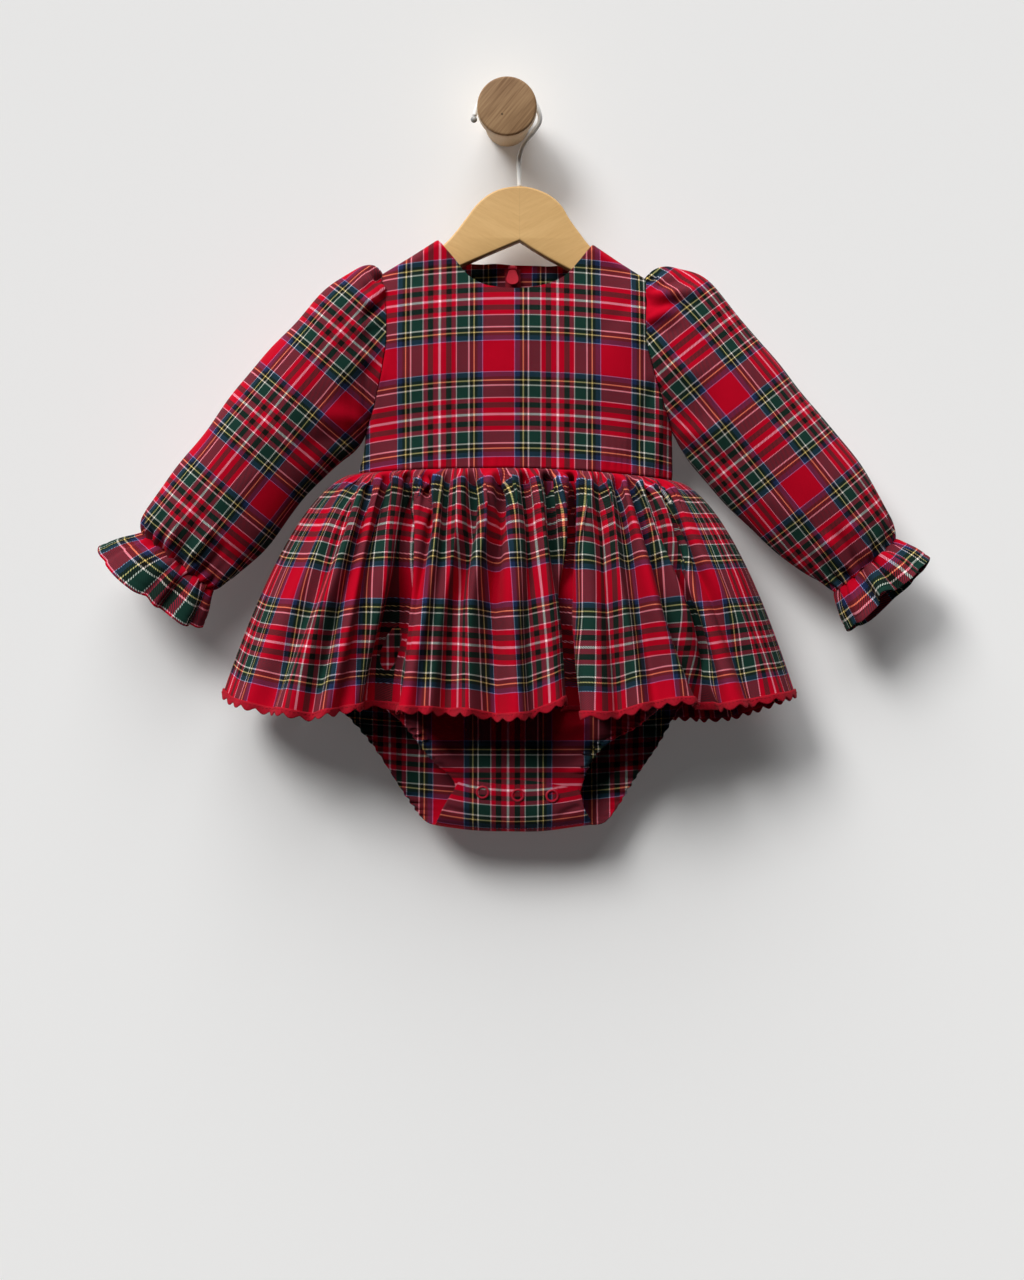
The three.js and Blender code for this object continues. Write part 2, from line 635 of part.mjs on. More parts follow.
function turned(profile, segments) {
  return new THREE.LatheGeometry(profile.map(([r, y]) => new THREE.Vector2(r, y)), segments);
}

function nearestFlapPlace(x, z) {
  let best = { miss: Infinity, u: 0.5, v: 0.95 };
  for (let v = 0.82; v <= 1; v += 0.002) {
    for (let u = 0.05; u <= 0.95; u += 0.005) {
      const p = bloomerPoint(bloomerBackRows, u, v, 0.27);
      const miss = Math.hypot(p.x - x, p.z - z);
      if (miss < best.miss) {
        best = { miss, u, v };
      }
    }
  }
  return best;
}

function snapRing(name, x, z) {
  const place = nearestFlapPlace(x, z);
  const at = (u, v) => bloomerPoint(bloomerBackRows, u, v, 0.27);
  const p = at(place.u, place.v);
  const across = at(place.u + 0.06, place.v).sub(at(place.u - 0.06, place.v));
  const rise = at(place.u, Math.min(1, place.v + 0.03)).sub(at(place.u, place.v - 0.03));
  const out = across.cross(rise).normalize();
  if (out.y > 0) {
    out.negate();
  }
  const profile = [
    [snapInner, 0.1], [snapOuter, 0], [snapOuter, 0.6], [snapOuter - 0.5, snapHeight],
    [snapInner + 0.3, snapHeight], [snapInner, 0.1],
  ];
  const geometry = turned(profile, 18);
  const turn = new THREE.Quaternion().setFromUnitVectors(vec(0, 1, 0), out);
  geometry.applyQuaternion(turn);
  const seat = p.clone().addScaledVector(out, seamGap + 0.1);
  geometry.translate(seat.x, seat.y, seat.z);
  return named(name, geometry, 0xb01226);
}

group.add(snapRing("snap_left", -17.4, -493.7));
group.add(snapRing("snap_middle", 7.6, -495.7));
group.add(snapRing("snap_right", 32.3, -496.2));

// Hanger: one flat wooden board, its arms hidden in the shoulders
const hangerThick = 12;
const hangerBevel = 3.2;
const hangerOutline = [
  [9.1, -53.6], [-1, -54.4], [-9, -56.7], [-16, -60.4], [-22.3, -66], [-30, -76.9], [-38, -86.4],
  [-45.4, -99.5], [-60, -107], [-72, -113.4], [-80, -118], [-82.5, -120], [-81.5, -124.5],
  [-77, -127.5], [-70, -126.6], [-54, -120.8], [-35.1, -112.6], [-14, -103.4], [9.1, -93.3],
  [26, -104.2], [44.4, -114.1], [64, -123.6], [80, -130], [86.5, -130], [91, -127],
  [91.5, -122.5], [88.5, -119.4], [80, -114.4], [70, -108.2], [58.5, -100.6], [53.2, -88.2],
  [45.9, -76.9], [40.1, -66], [34.5, -60.5], [27.2, -56.7], [19, -54.4],
];

function hangerBoard() {
  const shape = new THREE.Shape(hangerOutline.map(([x, z]) => new THREE.Vector2(x, z)));
  const geometry = new THREE.ExtrudeGeometry(shape, {
    depth: hangerThick - 2 * hangerBevel,
    bevelEnabled: true,
    bevelThickness: hangerBevel,
    bevelSize: hangerBevel,
    bevelOffset: -hangerBevel,
    bevelSegments: 2,
    steps: 1,
  });
  geometry.rotateX(Math.PI / 2);
  geometry.translate(0, midY + hangerThick / 2 - hangerBevel, 0);
  return geometry;
}

group.add(named("hanger", hangerBoard(), 0xd8ad6e));

// Wire hook over the peg, and the round end of its tip
const wireRadius = 1.65;
const hookRadius = 24;
const hookCentreZ = -5;

function hookPath() {
  const points = [vec(9.1, midY, -53.3), vec(8.9, midY, -45), vec(8.7, midY, -36), vec(10, midY, -28)];
  points.push(vec(14.2, midY, -19.8), vec(19.5, midY, -13));
  for (let a = 0; a <= 172; a += 17.2) {
    const turn = (a * Math.PI) / 180;
    points.push(vec(hookRadius * Math.cos(turn), midY, hookCentreZ + hookRadius * Math.sin(turn)));
  }
  return new THREE.CatmullRomCurve3(points);
}

function circle(radius, sides) {
  const points = Array.from({ length: sides }, (unused, i) => {
    const turn = (2 * Math.PI * i) / sides;
    return new THREE.Vector2(radius * Math.cos(turn), radius * Math.sin(turn));
  });
  return new THREE.Shape(points);
}

const wirePath = hookPath();
const wire = new THREE.ExtrudeGeometry(circle(wireRadius, 8), {
  steps: 34,
  extrudePath: wirePath,
  bevelEnabled: false,
});
group.add(named("hook_wire", wire, 0xf2f2f0));
const tip = wirePath.getPointAt(1);
const tipWay = wirePath.getTangentAt(1);
const tipRadius = 2.4;
const ball = new THREE.SphereGeometry(tipRadius, 12, 8);
ball.translate(...tip.clone().addScaledVector(tipWay, tipRadius + seamGap).toArray());
group.add(named("hook_tip", ball, 0x9a9a98));

// Wall peg: a stem and a round head, its back flat on the wall
const stemRadius = 16.5;
const headRadius = 21.6;
const pegProfile = [
  [0, -58], [18.4, -58], [20.4, -57.3], [21.3, -56], [headRadius, -54], [headRadius, -47.4], [20.9, -45.2],
  [19.4, -44], [stemRadius, -43.6], [stemRadius, 0], [0, 0],
];
group.add(named("wall_peg", turned(pegProfile, 28), 0xa9835c));

// Zip: its tape inside the back, the slider at the top, and the pull tab that swings on the slider's bar
const zipX = 3.97;
const tapeHalf = 0.03;
const tapeGap = 0.5;
const tapeThick = 0.8;

function zipTape() {
  const point = (t, v) => {
    const z = lerp(-111.5, -256, v);
    const p = bodicePoint(1, t, z);
    p.y -= clothThick + tapeGap;
    return p;
  };
  const places = [middleBack - tapeHalf, middleBack - 0.0012, middleBack + 0.0012, middleBack + tapeHalf];
  const down = [0, 0.03, 0.07, 0.14, 0.25, 0.4, 0.55, 0.7, 0.85, 1];
  return clothWall("zip_tape", 0xa41628, places, down, point, { flip: true, thick: tapeThick });
}

group.add(zipTape());

const pivotZ = -111;
const tapeFaceY = bodicePoint(1, middleBack, -113.5).y - clothThick - tapeGap - tapeThick;
const sliderDeep = 1.8;
const pivotY = tapeFaceY - 0.5 - sliderDeep - 1.9;

const wasm = await Module();
wasm.setup();

function solidOf(geometry) {
  const merged = mergeVertices(deleteNormals(geometry), 1e-4);
  const mesh = new wasm.Mesh({
    numProp: 3,
    vertProperties: new Float32Array(merged.getAttribute("position").array),
    triVerts: new Uint32Array(merged.getIndex().array),
  });
  return new wasm.Manifold(mesh);
}

function deleteNormals(geometry) {
  geometry.deleteAttribute("normal");
  geometry.deleteAttribute("uv");
  return geometry;
}

function geometryOf(solid) {
  const mesh = solid.getMesh();
  const geometry = new THREE.BufferGeometry();
  geometry.setAttribute("position", new THREE.Float32BufferAttribute(mesh.vertProperties, 3));
  geometry.setIndex(Array.from(mesh.triVerts));
  return geometry;
}

function rod(radius, length, sides, x, y, z) {
  const geometry = new THREE.CylinderGeometry(radius, radius, length, sides);
  geometry.rotateZ(Math.PI / 2);
  geometry.translate(x, y, z);
  return solidOf(geometry);
}

function block(sx, sy, sz, x, y, z) {
  const geometry = new THREE.BoxGeometry(sx, sy, sz);
  geometry.translate(x, y, z);
  return solidOf(geometry);
}

function zipSlider() {
  const bodyY = tapeFaceY - 0.5 - sliderDeep / 2;
  const lugY = (bodyY + pivotY) / 2;
  let solid = block(6.6, sliderDeep, 7.4, zipX, bodyY, pivotZ - 2.6);
  for (const side of [-1, 1]) {
    solid = solid.add(block(0.9, 3.6, 2, zipX + side * 2.6, lugY - 0.5, pivotZ));
  }
  solid = solid.add(rod(0.7, 5.4, 12, zipX, pivotY, pivotZ));
  return named("zip_slider", geometryOf(solid), 0xa8142a);
}

function pullTab() {
  const outline = new THREE.Shape();
  const half = [
    [1.7, 0], [1.9, -1.4], [3.2, -4], [4.4, -7],
    [4.6, -9], [3.9, -10.9], [2.2, -12.1], [0, -12.5],
  ];
  const points = half.concat(half.slice(0, -1).reverse().map(([x, z]) => [-x, z]));
  outline.setFromPoints(points.map(([x, z]) => new THREE.Vector2(x, z)));
  const plate = new THREE.ExtrudeGeometry(outline, {
    depth: 0.8, bevelEnabled: true, bevelThickness: 0.3, bevelSize: 0.3, bevelOffset: -0.3, bevelSegments: 1,
  });
  plate.rotateX(Math.PI / 2);
  plate.translate(zipX, pivotY + 0.4, pivotZ);
  let solid = solidOf(plate).add(rod(1.7, 3.6, 18, zipX, pivotY, pivotZ));
  solid = solid.subtract(rod(1.05, 6, 18, zipX, pivotY, pivotZ));
  return named("zip_pull_tab", geometryOf(solid), 0xc01430);
}

group.add(zipSlider());
group.add(pullTab());

export default group;
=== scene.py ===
import math
import random

import bmesh
import bpy
import numpy as np
from mathutils import Matrix, Vector


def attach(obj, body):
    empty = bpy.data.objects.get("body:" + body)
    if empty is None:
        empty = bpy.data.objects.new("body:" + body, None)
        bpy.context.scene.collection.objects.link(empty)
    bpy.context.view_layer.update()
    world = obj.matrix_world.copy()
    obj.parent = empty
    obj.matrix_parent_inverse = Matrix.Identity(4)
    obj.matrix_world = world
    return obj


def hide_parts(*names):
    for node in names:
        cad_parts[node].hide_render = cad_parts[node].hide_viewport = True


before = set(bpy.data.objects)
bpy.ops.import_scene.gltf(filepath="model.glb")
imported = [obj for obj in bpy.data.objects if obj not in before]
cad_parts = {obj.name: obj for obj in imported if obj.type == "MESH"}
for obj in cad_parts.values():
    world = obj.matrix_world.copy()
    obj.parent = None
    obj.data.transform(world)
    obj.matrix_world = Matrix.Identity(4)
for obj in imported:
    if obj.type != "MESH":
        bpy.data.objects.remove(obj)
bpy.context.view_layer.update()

# Sizes in mm. X is to the right, Y goes back to the wall at 0, Z is up.
midY = -34.0
seamGap = 0.3
clothShell = 0.85
sett = 43.5
threadPitch = 0.325


# Colour and node helpers
def linear(code):
    parts = [int(code[i : i + 2], 16) / 255 for i in (1, 3, 5)]
    return [p / 12.92 if p < 0.04045 else ((p + 0.055) / 1.055) ** 2.4 for p in parts] + [1.0]


def fillInputs(tree, node, inputs):
    for key, value in inputs.items():
        if isinstance(value, bpy.types.NodeSocket):
            tree.links.new(value, node.inputs[key])
        else:
            node.inputs[key].default_value = value


def addNode(tree, kind, inputs=None, **settings):
    node = tree.nodes.new(kind)
    for key, value in settings.items():
        setattr(node, key, value)
    fillInputs(tree, node, inputs or {})
    return node


def calc(tree, operation, a, b=0.0, c=0.0):
    return addNode(tree, "ShaderNodeMath", {0: a, 1: b, 2: c}, operation=operation).outputs[0]


def blendColour(tree, factor, a, b, mode="MIX"):
    node = addNode(tree, "ShaderNodeMix", {0: factor, 6: a, 7: b}, data_type="RGBA", blend_type=mode)
    return node.outputs[2]


def newMaterial(name):
    material = bpy.data.materials.new(name)
    material.use_nodes = True
    tree = material.node_tree
    shader = tree.nodes["Principled BSDF"]
    return material, tree, shader


def noise(tree, place, scale, detail, **more):
    return addNode(tree, "ShaderNodeTexNoise", {"Vector": place, "Scale": scale, "Detail": detail, **more}).outputs[0]


def bump(tree, strength, distance, height):
    values = {"Strength": strength, "Distance": distance, "Height": height}
    return addNode(tree, "ShaderNodeBump", values).outputs[0]


def axesOf(tree, place):
    return addNode(tree, "ShaderNodeSeparateXYZ", {0: place}).outputs[:3]


# Places in mm of cloth, on the piece's own UV layer
def clothPlace(tree):
    return addNode(tree, "ShaderNodeUVMap", uv_map="cloth").outputs[0]


def objectPlace(tree):
    return addNode(tree, "ShaderNodeTexCoord").outputs["Object"]


def smoothFaces(mesh):
    mesh.polygons.foreach_set("use_smooth", [True] * len(mesh.polygons))


def linkObject(name, data):
    made = bpy.data.objects.new(name, data)
    bpy.context.scene.collection.objects.link(made)
    return made


# Tartan, from the white pivot line out to the middle of the red square: where each stripe starts, and its yarn
stripes = [
    (0.0, "#F2E2E0"),
    (0.7, "#B0001E"),
    (4.7, "#12130F"),
    (8.8, "#B0001E"),
    (12.0, "#EADADA"),
    (12.6, "#14332B"),
    (21.0, "#F0E6DC"),
    (22.0, "#12130F"),
    (24.9, "#F4D27A"),
    (25.8, "#12130F"),
    (28.0, "#1B284A"),
    (31.3, "#9AA6DC"),
    (31.8, "#B0001E"),
]


def stripeRamp(tree, place):
    node = addNode(tree, "ShaderNodeValToRGB", {0: calc(tree, "DIVIDE", calc(tree, "PINGPONG", place, sett), sett)})
    ramp = node.color_ramp
    ramp.interpolation = "CONSTANT"
    while len(ramp.elements) < len(stripes):
        ramp.elements.new(0.5)
    for element, (start, code) in zip(ramp.elements, stripes):
        element.position = start / sett
        element.color = linear(code)
    return node.outputs[0]


def tartanMaterial(name):
    # Brushed cotton twill: soft, matt, the two sets of yarn seen as diagonal steps, with a faint nap on the folds
    material, tree, shader = newMaterial(name)
    place = clothPlace(tree)
    across, down = axesOf(tree, place)[:2]
    warp = stripeRamp(tree, across)
    weft = stripeRamp(tree, down)
    diagonal = calc(tree, "ADD", across, down)
    step = calc(tree, "PINGPONG", diagonal, 2 * threadPitch)
    over = calc(tree, "GREATER_THAN", step, threadPitch)
    yarn = blendColour(tree, over, warp, weft)
    # Where two colours cross, each yarn's float shades the other
    plain = blendColour(tree, 0.5, warp, weft)
    eye = [addNode(tree, "ShaderNodeGamma", {0: c, 1: 0.45}).outputs[0] for c in (warp, weft)]
    seen = addNode(tree, "ShaderNodeGamma", {0: blendColour(tree, 0.5, *eye), 1: 2.222}).outputs[0]
    yarn = blendColour(tree, 1.0, yarn, blendColour(tree, 1.0, seen, plain, "DIVIDE"), "MULTIPLY")
    # Pale nap that greys the mixed squares, where red lies beside a dark yarn
    reds = [addNode(tree, "ShaderNodeSeparateColor", {0: c}).outputs[0] for c in (warp, weft)]
    mixed = calc(tree, "MINIMUM", calc(tree, "ABSOLUTE", calc(tree, "SUBTRACT", *reds)), 0.4)
    yarn = blendColour(tree, calc(tree, "MULTIPLY", mixed, 2.5), yarn, linear("#121A18"), "ADD")
    fibre = noise(tree, place, 1.9, 3.0, Roughness=0.7)
    cloud = noise(tree, place, 0.06, 2.0)
    grey = calc(tree, "MULTIPLY_ADD", fibre, 0.5, 0.75)
    grey = calc(tree, "MULTIPLY", grey, calc(tree, "MULTIPLY_ADD", cloud, 0.2, 0.9))
    tint = addNode(tree, "ShaderNodeCombineColor", {0: grey, 1: grey, 2: grey})
    colour = blendColour(tree, 1.0, yarn, tint.outputs[0], "MULTIPLY")
    relief = calc(tree, "ADD", calc(tree, "MULTIPLY", step, 1.4), calc(tree, "MULTIPLY", fibre, 0.35))
    relief = bump(tree, 0.35, 0.0002, relief)
    fillInputs(tree, shader, {
        "Base Color": colour,
        "Roughness": calc(tree, "MULTIPLY_ADD", fibre, 0.12, 0.8),
        "Specular IOR Level": 0.06,
        "Sheen Weight": 0.03,
        "Sheen Roughness": 0.5,
        "Sheen Tint": linear("#E8B0B4"),
        "Normal": relief,
    })
    return material


def laceMaterial():
    # Red cotton picot braid: matt thread, with a painted highlight of lighter red on the raised loops
    material, tree, shader = newMaterial("Red picot braid")
    place = clothPlace(tree)
    across, down = axesOf(tree, place)[:2]
    slope, pitch = 1.6, 0.55
    cord = calc(tree, "PINGPONG", calc(tree, "MULTIPLY_ADD", down, slope, across), pitch)
    other = calc(tree, "PINGPONG", calc(tree, "SUBTRACT", across, calc(tree, "MULTIPLY", down, slope)), pitch)
    knot = calc(tree, "MULTIPLY", calc(tree, "DIVIDE", cord, pitch), calc(tree, "DIVIDE", other, pitch))
    fibre = noise(tree, place, 2.4, 3.0)
    # Lighter red on the raised knots is a painted highlight
    colour = blendColour(tree, knot, linear("#9A041C"), linear("#C01A30"))
    relief = bump(tree, 0.6, 0.0003, calc(tree, "ADD", knot, fibre))
    fillInputs(tree, shader, {
        "Base Color": colour,
        "Roughness": calc(tree, "MULTIPLY_ADD", fibre, 0.2, 0.7),
        "Specular IOR Level": 0.12,
        "Sheen Weight": 0.03,
        "Normal": relief,
    })
    return material


def coatedMaterial(name, code, rough, speck=0.06):
    # Smooth coat over metal or plastic, with a slight unevenness in its shine
    material, tree, shader = newMaterial(name)
    place = objectPlace(tree)
    speckle = noise(tree, place, 900.0, 2.0)
    base = linear(code)
    deeper = [c * (1 - 3 * speck) for c in base[:3]] + [1.0]
    fillInputs(tree, shader, {
        "Base Color": blendColour(tree, speckle, base, deeper),
        "Roughness": calc(tree, "MULTIPLY_ADD", speckle, 0.15, rough),
        "Specular IOR Level": 0.5,
    })
    return material


# Curves and surfaces
def lerp(a, b, t):
    return a + (b - a) * t


def along(rows, key, s):
    values = np.array([r[key] for r in rows], dtype=float)
    n = len(values)
    p = np.clip(s, 0, 1) * (n - 1)
    i = np.minimum(p.astype(int), n - 2)
    t = p - i
    before = values[np.clip(i - 1, 0, n - 1)]
    first = values[i]
    second = values[i + 1]
    after = values[np.clip(i + 2, 0, n - 1)]
    m0 = (second - before) / 2
    m1 = (after - first) / 2
    start = (2 * t**3 - 3 * t**2 + 1) * first + (t**3 - 2 * t**2 + t) * m0
    return start + (3 * t**2 - 2 * t**3) * second + (t**3 - t**2) * m1


def smoothTable(rows, column, x):
    xs = np.array([r[0] for r in rows], dtype=float)
    ys = np.array([r[column] for r in rows], dtype=float)
    slopes = np.gradient(ys, xs)
    x = np.clip(x, xs[0], xs[-1])
    i = np.clip(np.searchsorted(xs, x, side="right") - 1, 0, len(xs) - 2)
    h = xs[i + 1] - xs[i]
    t = (x - xs[i]) / h
    return ((2 * t**3 - 3 * t**2 + 1) * ys[i] + (t**3 - 2 * t**2 + t) * h * slopes[i]
            + (3 * t**2 - 2 * t**3) * ys[i + 1] + (t**3 - t**2) * h * slopes[i + 1])


def straightTable(rows, column, x):
    return np.interp(x, [r[0] for r in rows], [r[column] for r in rows])


def pillow(x):
    return np.maximum(0, 1 - np.abs(x) ** 2.4) ** 0.48


def outward(point, u, v, flip):
    e = 0.0015
    du = np.stack(point(np.clip(u + e, 0, 1), v), 1) - np.stack(point(np.clip(u - e, 0, 1), v), 1)
    dv = np.stack(point(u, np.clip(v + e, 0, 1)), 1) - np.stack(point(u, np.clip(v - e, 0, 1)), 1)
    way = np.cross(dv, du)
    size = np.linalg.norm(way, axis=1, keepdims=True)
    way = way / np.maximum(size, 1e-9)
    return -way if flip else way


def soften(t):
    t = np.clip(t, 0, 1)
    return t * t * (3 - 2 * t)


def keyed(keys, rows):
    return [dict(zip(keys, row)) for row in rows]


# Soft troughs and ridges, each from one place to another as seen from the front
creaseKeys = ("x0", "z0", "x1", "z1", "wide", "rise", "sway")


def creases(rows, x, z, strength=1.0):
    total = np.zeros_like(x)
    for r in keyed(creaseKeys, rows):
        dx, dz = r["x1"] - r["x0"], r["z1"] - r["z0"]
        span = math.hypot(dx, dz)
        t = ((x - r["x0"]) * dx + (z - r["z0"]) * dz) / span**2
        off = ((x - r["x0"]) * dz - (z - r["z0"]) * dx) / span - r["sway"] * np.sin(t * 4.0)
        wide = r["wide"] * (0.7 + 0.5 * np.clip(t, 0, 1))
        fade = soften((t + 0.12) / 0.3) * soften((1.2 - t) / 0.45)
        total += strength * r["rise"] * fade * np.exp(-((off / wide) ** 2))
    return total


def ripple(u, v, seed, size, waves=7):
    rng = random.Random(seed)
    total = np.zeros_like(u)
    for _ in range(waves):
        a = rng.uniform(0.04, 0.16)
        b = rng.uniform(0.02, 0.12)
        total += np.sin(a * u + b * v * rng.choice((-1, 1)) + rng.uniform(0, 6.3))
    return size * total / waves


def shellPiece(name, columns, rows, point, pattern, material, flip=False, ring=False, thick=clothShell, height=None):
    mesh = bpy.data.meshes.new(name)
    bm = bmesh.new()
    bmesh.ops.create_grid(bm, x_segments=columns, y_segments=rows, size=0.5)
    if flip:
        bmesh.ops.reverse_faces(bm, faces=bm.faces)
    bm.to_mesh(mesh)
    bm.free()
    flat = np.empty(len(mesh.vertices) * 3)
    mesh.vertices.foreach_get("co", flat)
    u = np.clip(flat[0::3] + 0.5, 0, 1)
    v = np.clip(0.5 - flat[1::3], 0, 1)
    places = np.stack(point(u, v), 1)
    if height is not None:
        rise = height(u, v, places[:, 0], places[:, 1], places[:, 2])
        places = places + outward(point, u, v, flip) * rise[:, None]
    mesh.vertices.foreach_set("co", (places / 1000).ravel())
    corners = np.empty(len(mesh.loops), dtype=np.int32)
    mesh.loops.foreach_get("vertex_index", corners)
    across, down = pattern(u, v, places[:, 0], places[:, 1], places[:, 2])
    layer = mesh.uv_layers.new(name="cloth")
    layer.data.foreach_set("uv", np.stack((across[corners], down[corners]), 1).astype(np.float32).ravel())
    if ring:
        bm = bmesh.new()
        bm.from_mesh(mesh)
        bmesh.ops.remove_doubles(bm, verts=bm.verts, dist=1e-6)
        bm.to_mesh(mesh)
        bm.free()
    smoothFaces(mesh)
    mesh.materials.append(material)
    piece = linkObject(name, mesh)
    if thick:
        shell = piece.modifiers.new("Cloth", "SOLIDIFY")
        shell.thickness = thick / 1000
        shell.offset = -1.0
    return piece


tartan = tartanMaterial("Red tartan brushed twill")
bodicePieces = {}

# Bodice
bodiceSet = {
    "arch": 9.0, "seamDitch": 1.2, "frontRedX": -6.0, "frontPivotZ": -137.5, "acrossScale": 1.024, "downScale": 1.035,
    "middleX": 5, "halfWide": 112, "middleBack": 0.4965, "backSlit": 0.0012,
}
shoulderLeft, shoulderRight = -92, 101.3
neckLeft, neckRight = -50.7, 62.7
waistLeft, waistRight = -109.5, 120.3
# Columns: depth below the origin, left x, right x, half depth in front and behind, half depth at the side edges
bodiceRows = [
    (117, -92, 101.3, 15, 15, 0),
    (130, -89.5, 101, 17, 16, 9),
    (147, -87.3, 100.7, 20, 18, 14),
    (168, -87.1, 100.5, 23, 20, 16),
    (193, -91.3, 107.1, 24, 21, 15),
    (215, -96.5, 114.5, 24.5, 22, 10),
    (232, -102.9, 120.3, 25, 22, 0),
    (245, -104, 120.3, 25.5, 22, 0),
    (268, -109.5, 120.3, 26, 23, 0),
]
shoulderLine = [(-92, -117.8), (-72, -106), (-50.7, -92.7), (62.7, -96.1), (82, -109), (101.3, -121)]
neckLine = [
    (-50.7, -92.7, -92.7),
    (-44, -101, -98),
    (-37.7, -108.5, -103),
    (-27.5, -121.1, -107),
    (-20, -126, -107.6),
    (-8, -129, -107.2),
    (4, -129.8, -108.2),
    (20.2, -128.4, -108.6),
    (33, -125, -109),
    (42.6, -119.7, -107.6),
    (53, -108.5, -103),
    (62.7, -96.1, -96.1),
]
waistLine = [
    (-109.5, -262.9),
    (-77, -261.6),
    (-30, -260.6),
    (8.6, -260.5),
    (50, -262),
    (81.5, -264.3),
    (120.3, -268),
]


def bodicePoint(side, t, z):
    x = lerp(straightTable(bodiceRows, 1, -z), straightTable(bodiceRows, 2, -z), t)
    across = 2 * t - 1
    depth = straightTable(bodiceRows, 3 if side < 0 else 4, -z)
    edge = straightTable(bodiceRows, 5, -z)
    middle = pillow(across)
    shoulderX = lerp(shoulderLeft, shoulderRight, t)
    inNeck = (shoulderX > neckLeft) & (shoulderX < neckRight)
    inside = np.clip((shoulderX - neckLeft) / (neckRight - neckLeft), 0, 1)
    bend = np.where(inNeck, lerp(7, 20, np.sin(np.pi * inside)), 7)
    drop = np.clip((straightTable(shoulderLine, 1, shoulderX) - z) / bend, 0, 1)
    cap = np.sqrt(np.maximum(0, 1 - (1 - drop) ** 2))
    y = midY + side * (seamGap / 2 + (edge + (depth - edge) * middle) * cap)
    return x, y, z


def bodiceSurface(side, low, high):
    def point(u, v):
        t = lerp(low, high, u)
        if low == 0 and high == 1:
            t = lerp(u, soften(u), 0.6)
        x = lerp(shoulderLeft, shoulderRight, t)
        inNeck = (x > neckLeft) & (x < neckRight)
        top = np.where(inNeck, smoothTable(neckLine, 1 if side < 0 else 2, x), straightTable(shoulderLine, 1, x))
        bottom = smoothTable(waistLine, 1, lerp(waistLeft, waistRight, t)) + seamGap / 2
        return bodicePoint(side, t, lerp(top, bottom, v**1.8))
    return point


def bodicePattern(u, v, x, y, z):
    middle = (x - bodiceSet["middleX"]) / bodiceSet["halfWide"]
    sides = 5 * np.sign(middle) * np.abs(middle) ** 8
    across = (x - bodiceSet["frontRedX"]) * bodiceSet["acrossScale"] + sett + sides
    down = (z - bodiceSet["frontPivotZ"] + bodiceSet["arch"] * np.minimum(1.3, middle**2)) * bodiceSet["downScale"]
    return across, down


# Columns: from x and z, to x and z, half width, rise, sway
bodiceCreases = [
    (110, -196, 92, -258, 7, -2.4, 2),
    (117, -208, 104, -262, 5, 1.8, 1),
    (-90, -190, -84, -250, 7, -1.3, 2),
    (-98, -212, -92, -256, 5, 1.0, 1),
    (-40, -150, -46, -254, 12, 0.8, 3),
    (30, -160, 36, -256, 12, -0.8, 3),
    (-86, -134, -52, -168, 7, -0.8, 2),
    (96, -136, 62, -172, 7, -0.9, 2),
]


def bodiceHeight(side, seed, seamAt=None):
    def height(u, v, x, y, z):
        seam = 0.0 if seamAt is None else -bodiceSet["seamDitch"] * np.exp(-(((u - seamAt) / 0.012) ** 2))
        edge = soften(u / 0.05) * soften((1 - u) / 0.05) * soften((1 - v) / 0.05) * soften(v / 0.2)
        body = creases(bodiceCreases, x if side < 0 else 8 - x, z, 1.0 if side < 0 else 0.7)
        nearWaist = np.exp(-(((1 - v) / 0.08) ** 2)) * soften((1 - v) / 0.02)
        pull = 0.45 * np.sin(x * 1.1 + 2 * np.sin(x * 0.23)) * nearWaist
        return (body + ripple(x, z, seed, 0.7)) * edge + pull + seam
    return height


def backPattern(right, lower):
    return lambda u, v, x, y, z: bodicePattern(u, v, x - right, y, z + lower)


bodicePieces["front"] = shellPiece(
    "bodiceFront", 170, 120, bodiceSurface(-1, 0, 1), bodicePattern, tartan, height=bodiceHeight(-1, 3))
bodicePieces["backLeft"] = shellPiece(
    "bodiceBackLeft", 90, 90, bodiceSurface(1, 0, bodiceSet["middleBack"] - bodiceSet["backSlit"]),
    backPattern(10, 3.6), tartan, True,
    height=bodiceHeight(1, 5, 1))
bodicePieces["backRight"] = shellPiece(
    "bodiceBackRight", 90, 90, bodiceSurface(1, bodiceSet["middleBack"] + bodiceSet["backSlit"], 1),
    backPattern(13, 7.4), tartan, True,
    height=bodiceHeight(1, 6, 0))
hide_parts("bodice_front")
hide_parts("bodice_back_left")
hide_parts("bodice_back_right")
print("bodice made")

# Sleeves
sleeveSet = {"lean": 0.2, "capRise": 1.7, "wristWaves": 15, "wristRise": 1.9}
sleeveKeys = ("ux", "uz", "lx", "lz", "d", "y")
sleeveLeftRows = keyed(sleeveKeys, [
    (-92, -117.9, -102.9, -232.3, 16, -34),
    (-101, -111.5, -107.5, -240, 19.5, -34),
    (-114, -116.5, -111.5, -245, 22, -34),
    (-133, -130.9, -115.5, -249, 24, -35),
    (-159, -159.3, -121, -253.5, 25.5, -35),
    (-189.7, -193.6, -132, -263.5, 26, -35.5),
    (-212.7, -224.3, -149, -280, 25.5, -36),
    (-237.5, -256.3, -172.2, -312.5, 24, -36),
    (-257.5, -282.5, -196, -335.5, 22, -36),
    (-264.8, -295.5, -207, -342.5, 17.5, -36),
    (-263.4, -307.2, -215.6, -345.5, 10.5, -36),
])
sleeveRightRows = keyed(sleeveKeys, [
    (101.3, -121.1, 120.3, -231.5, 16, -34),
    (112, -112.5, 124.5, -240, 19.5, -34),
    (125, -113.5, 129, -247, 22, -34),
    (145, -122.5, 134.5, -255, 24, -35),
    (170, -152, 145, -267.5, 26, -35),
    (199, -185.5, 161, -285.5, 26.5, -35.5),
    (225.4, -218.4, 179, -303, 26, -36),
    (247, -244.5, 199, -321.5, 24.5, -36),
    (266, -272, 218, -335, 22, -36),
    (277.5, -296, 231, -342, 17, -36),
    (280.5, -312, 240, -347.5, 10.5, -36.5),
])


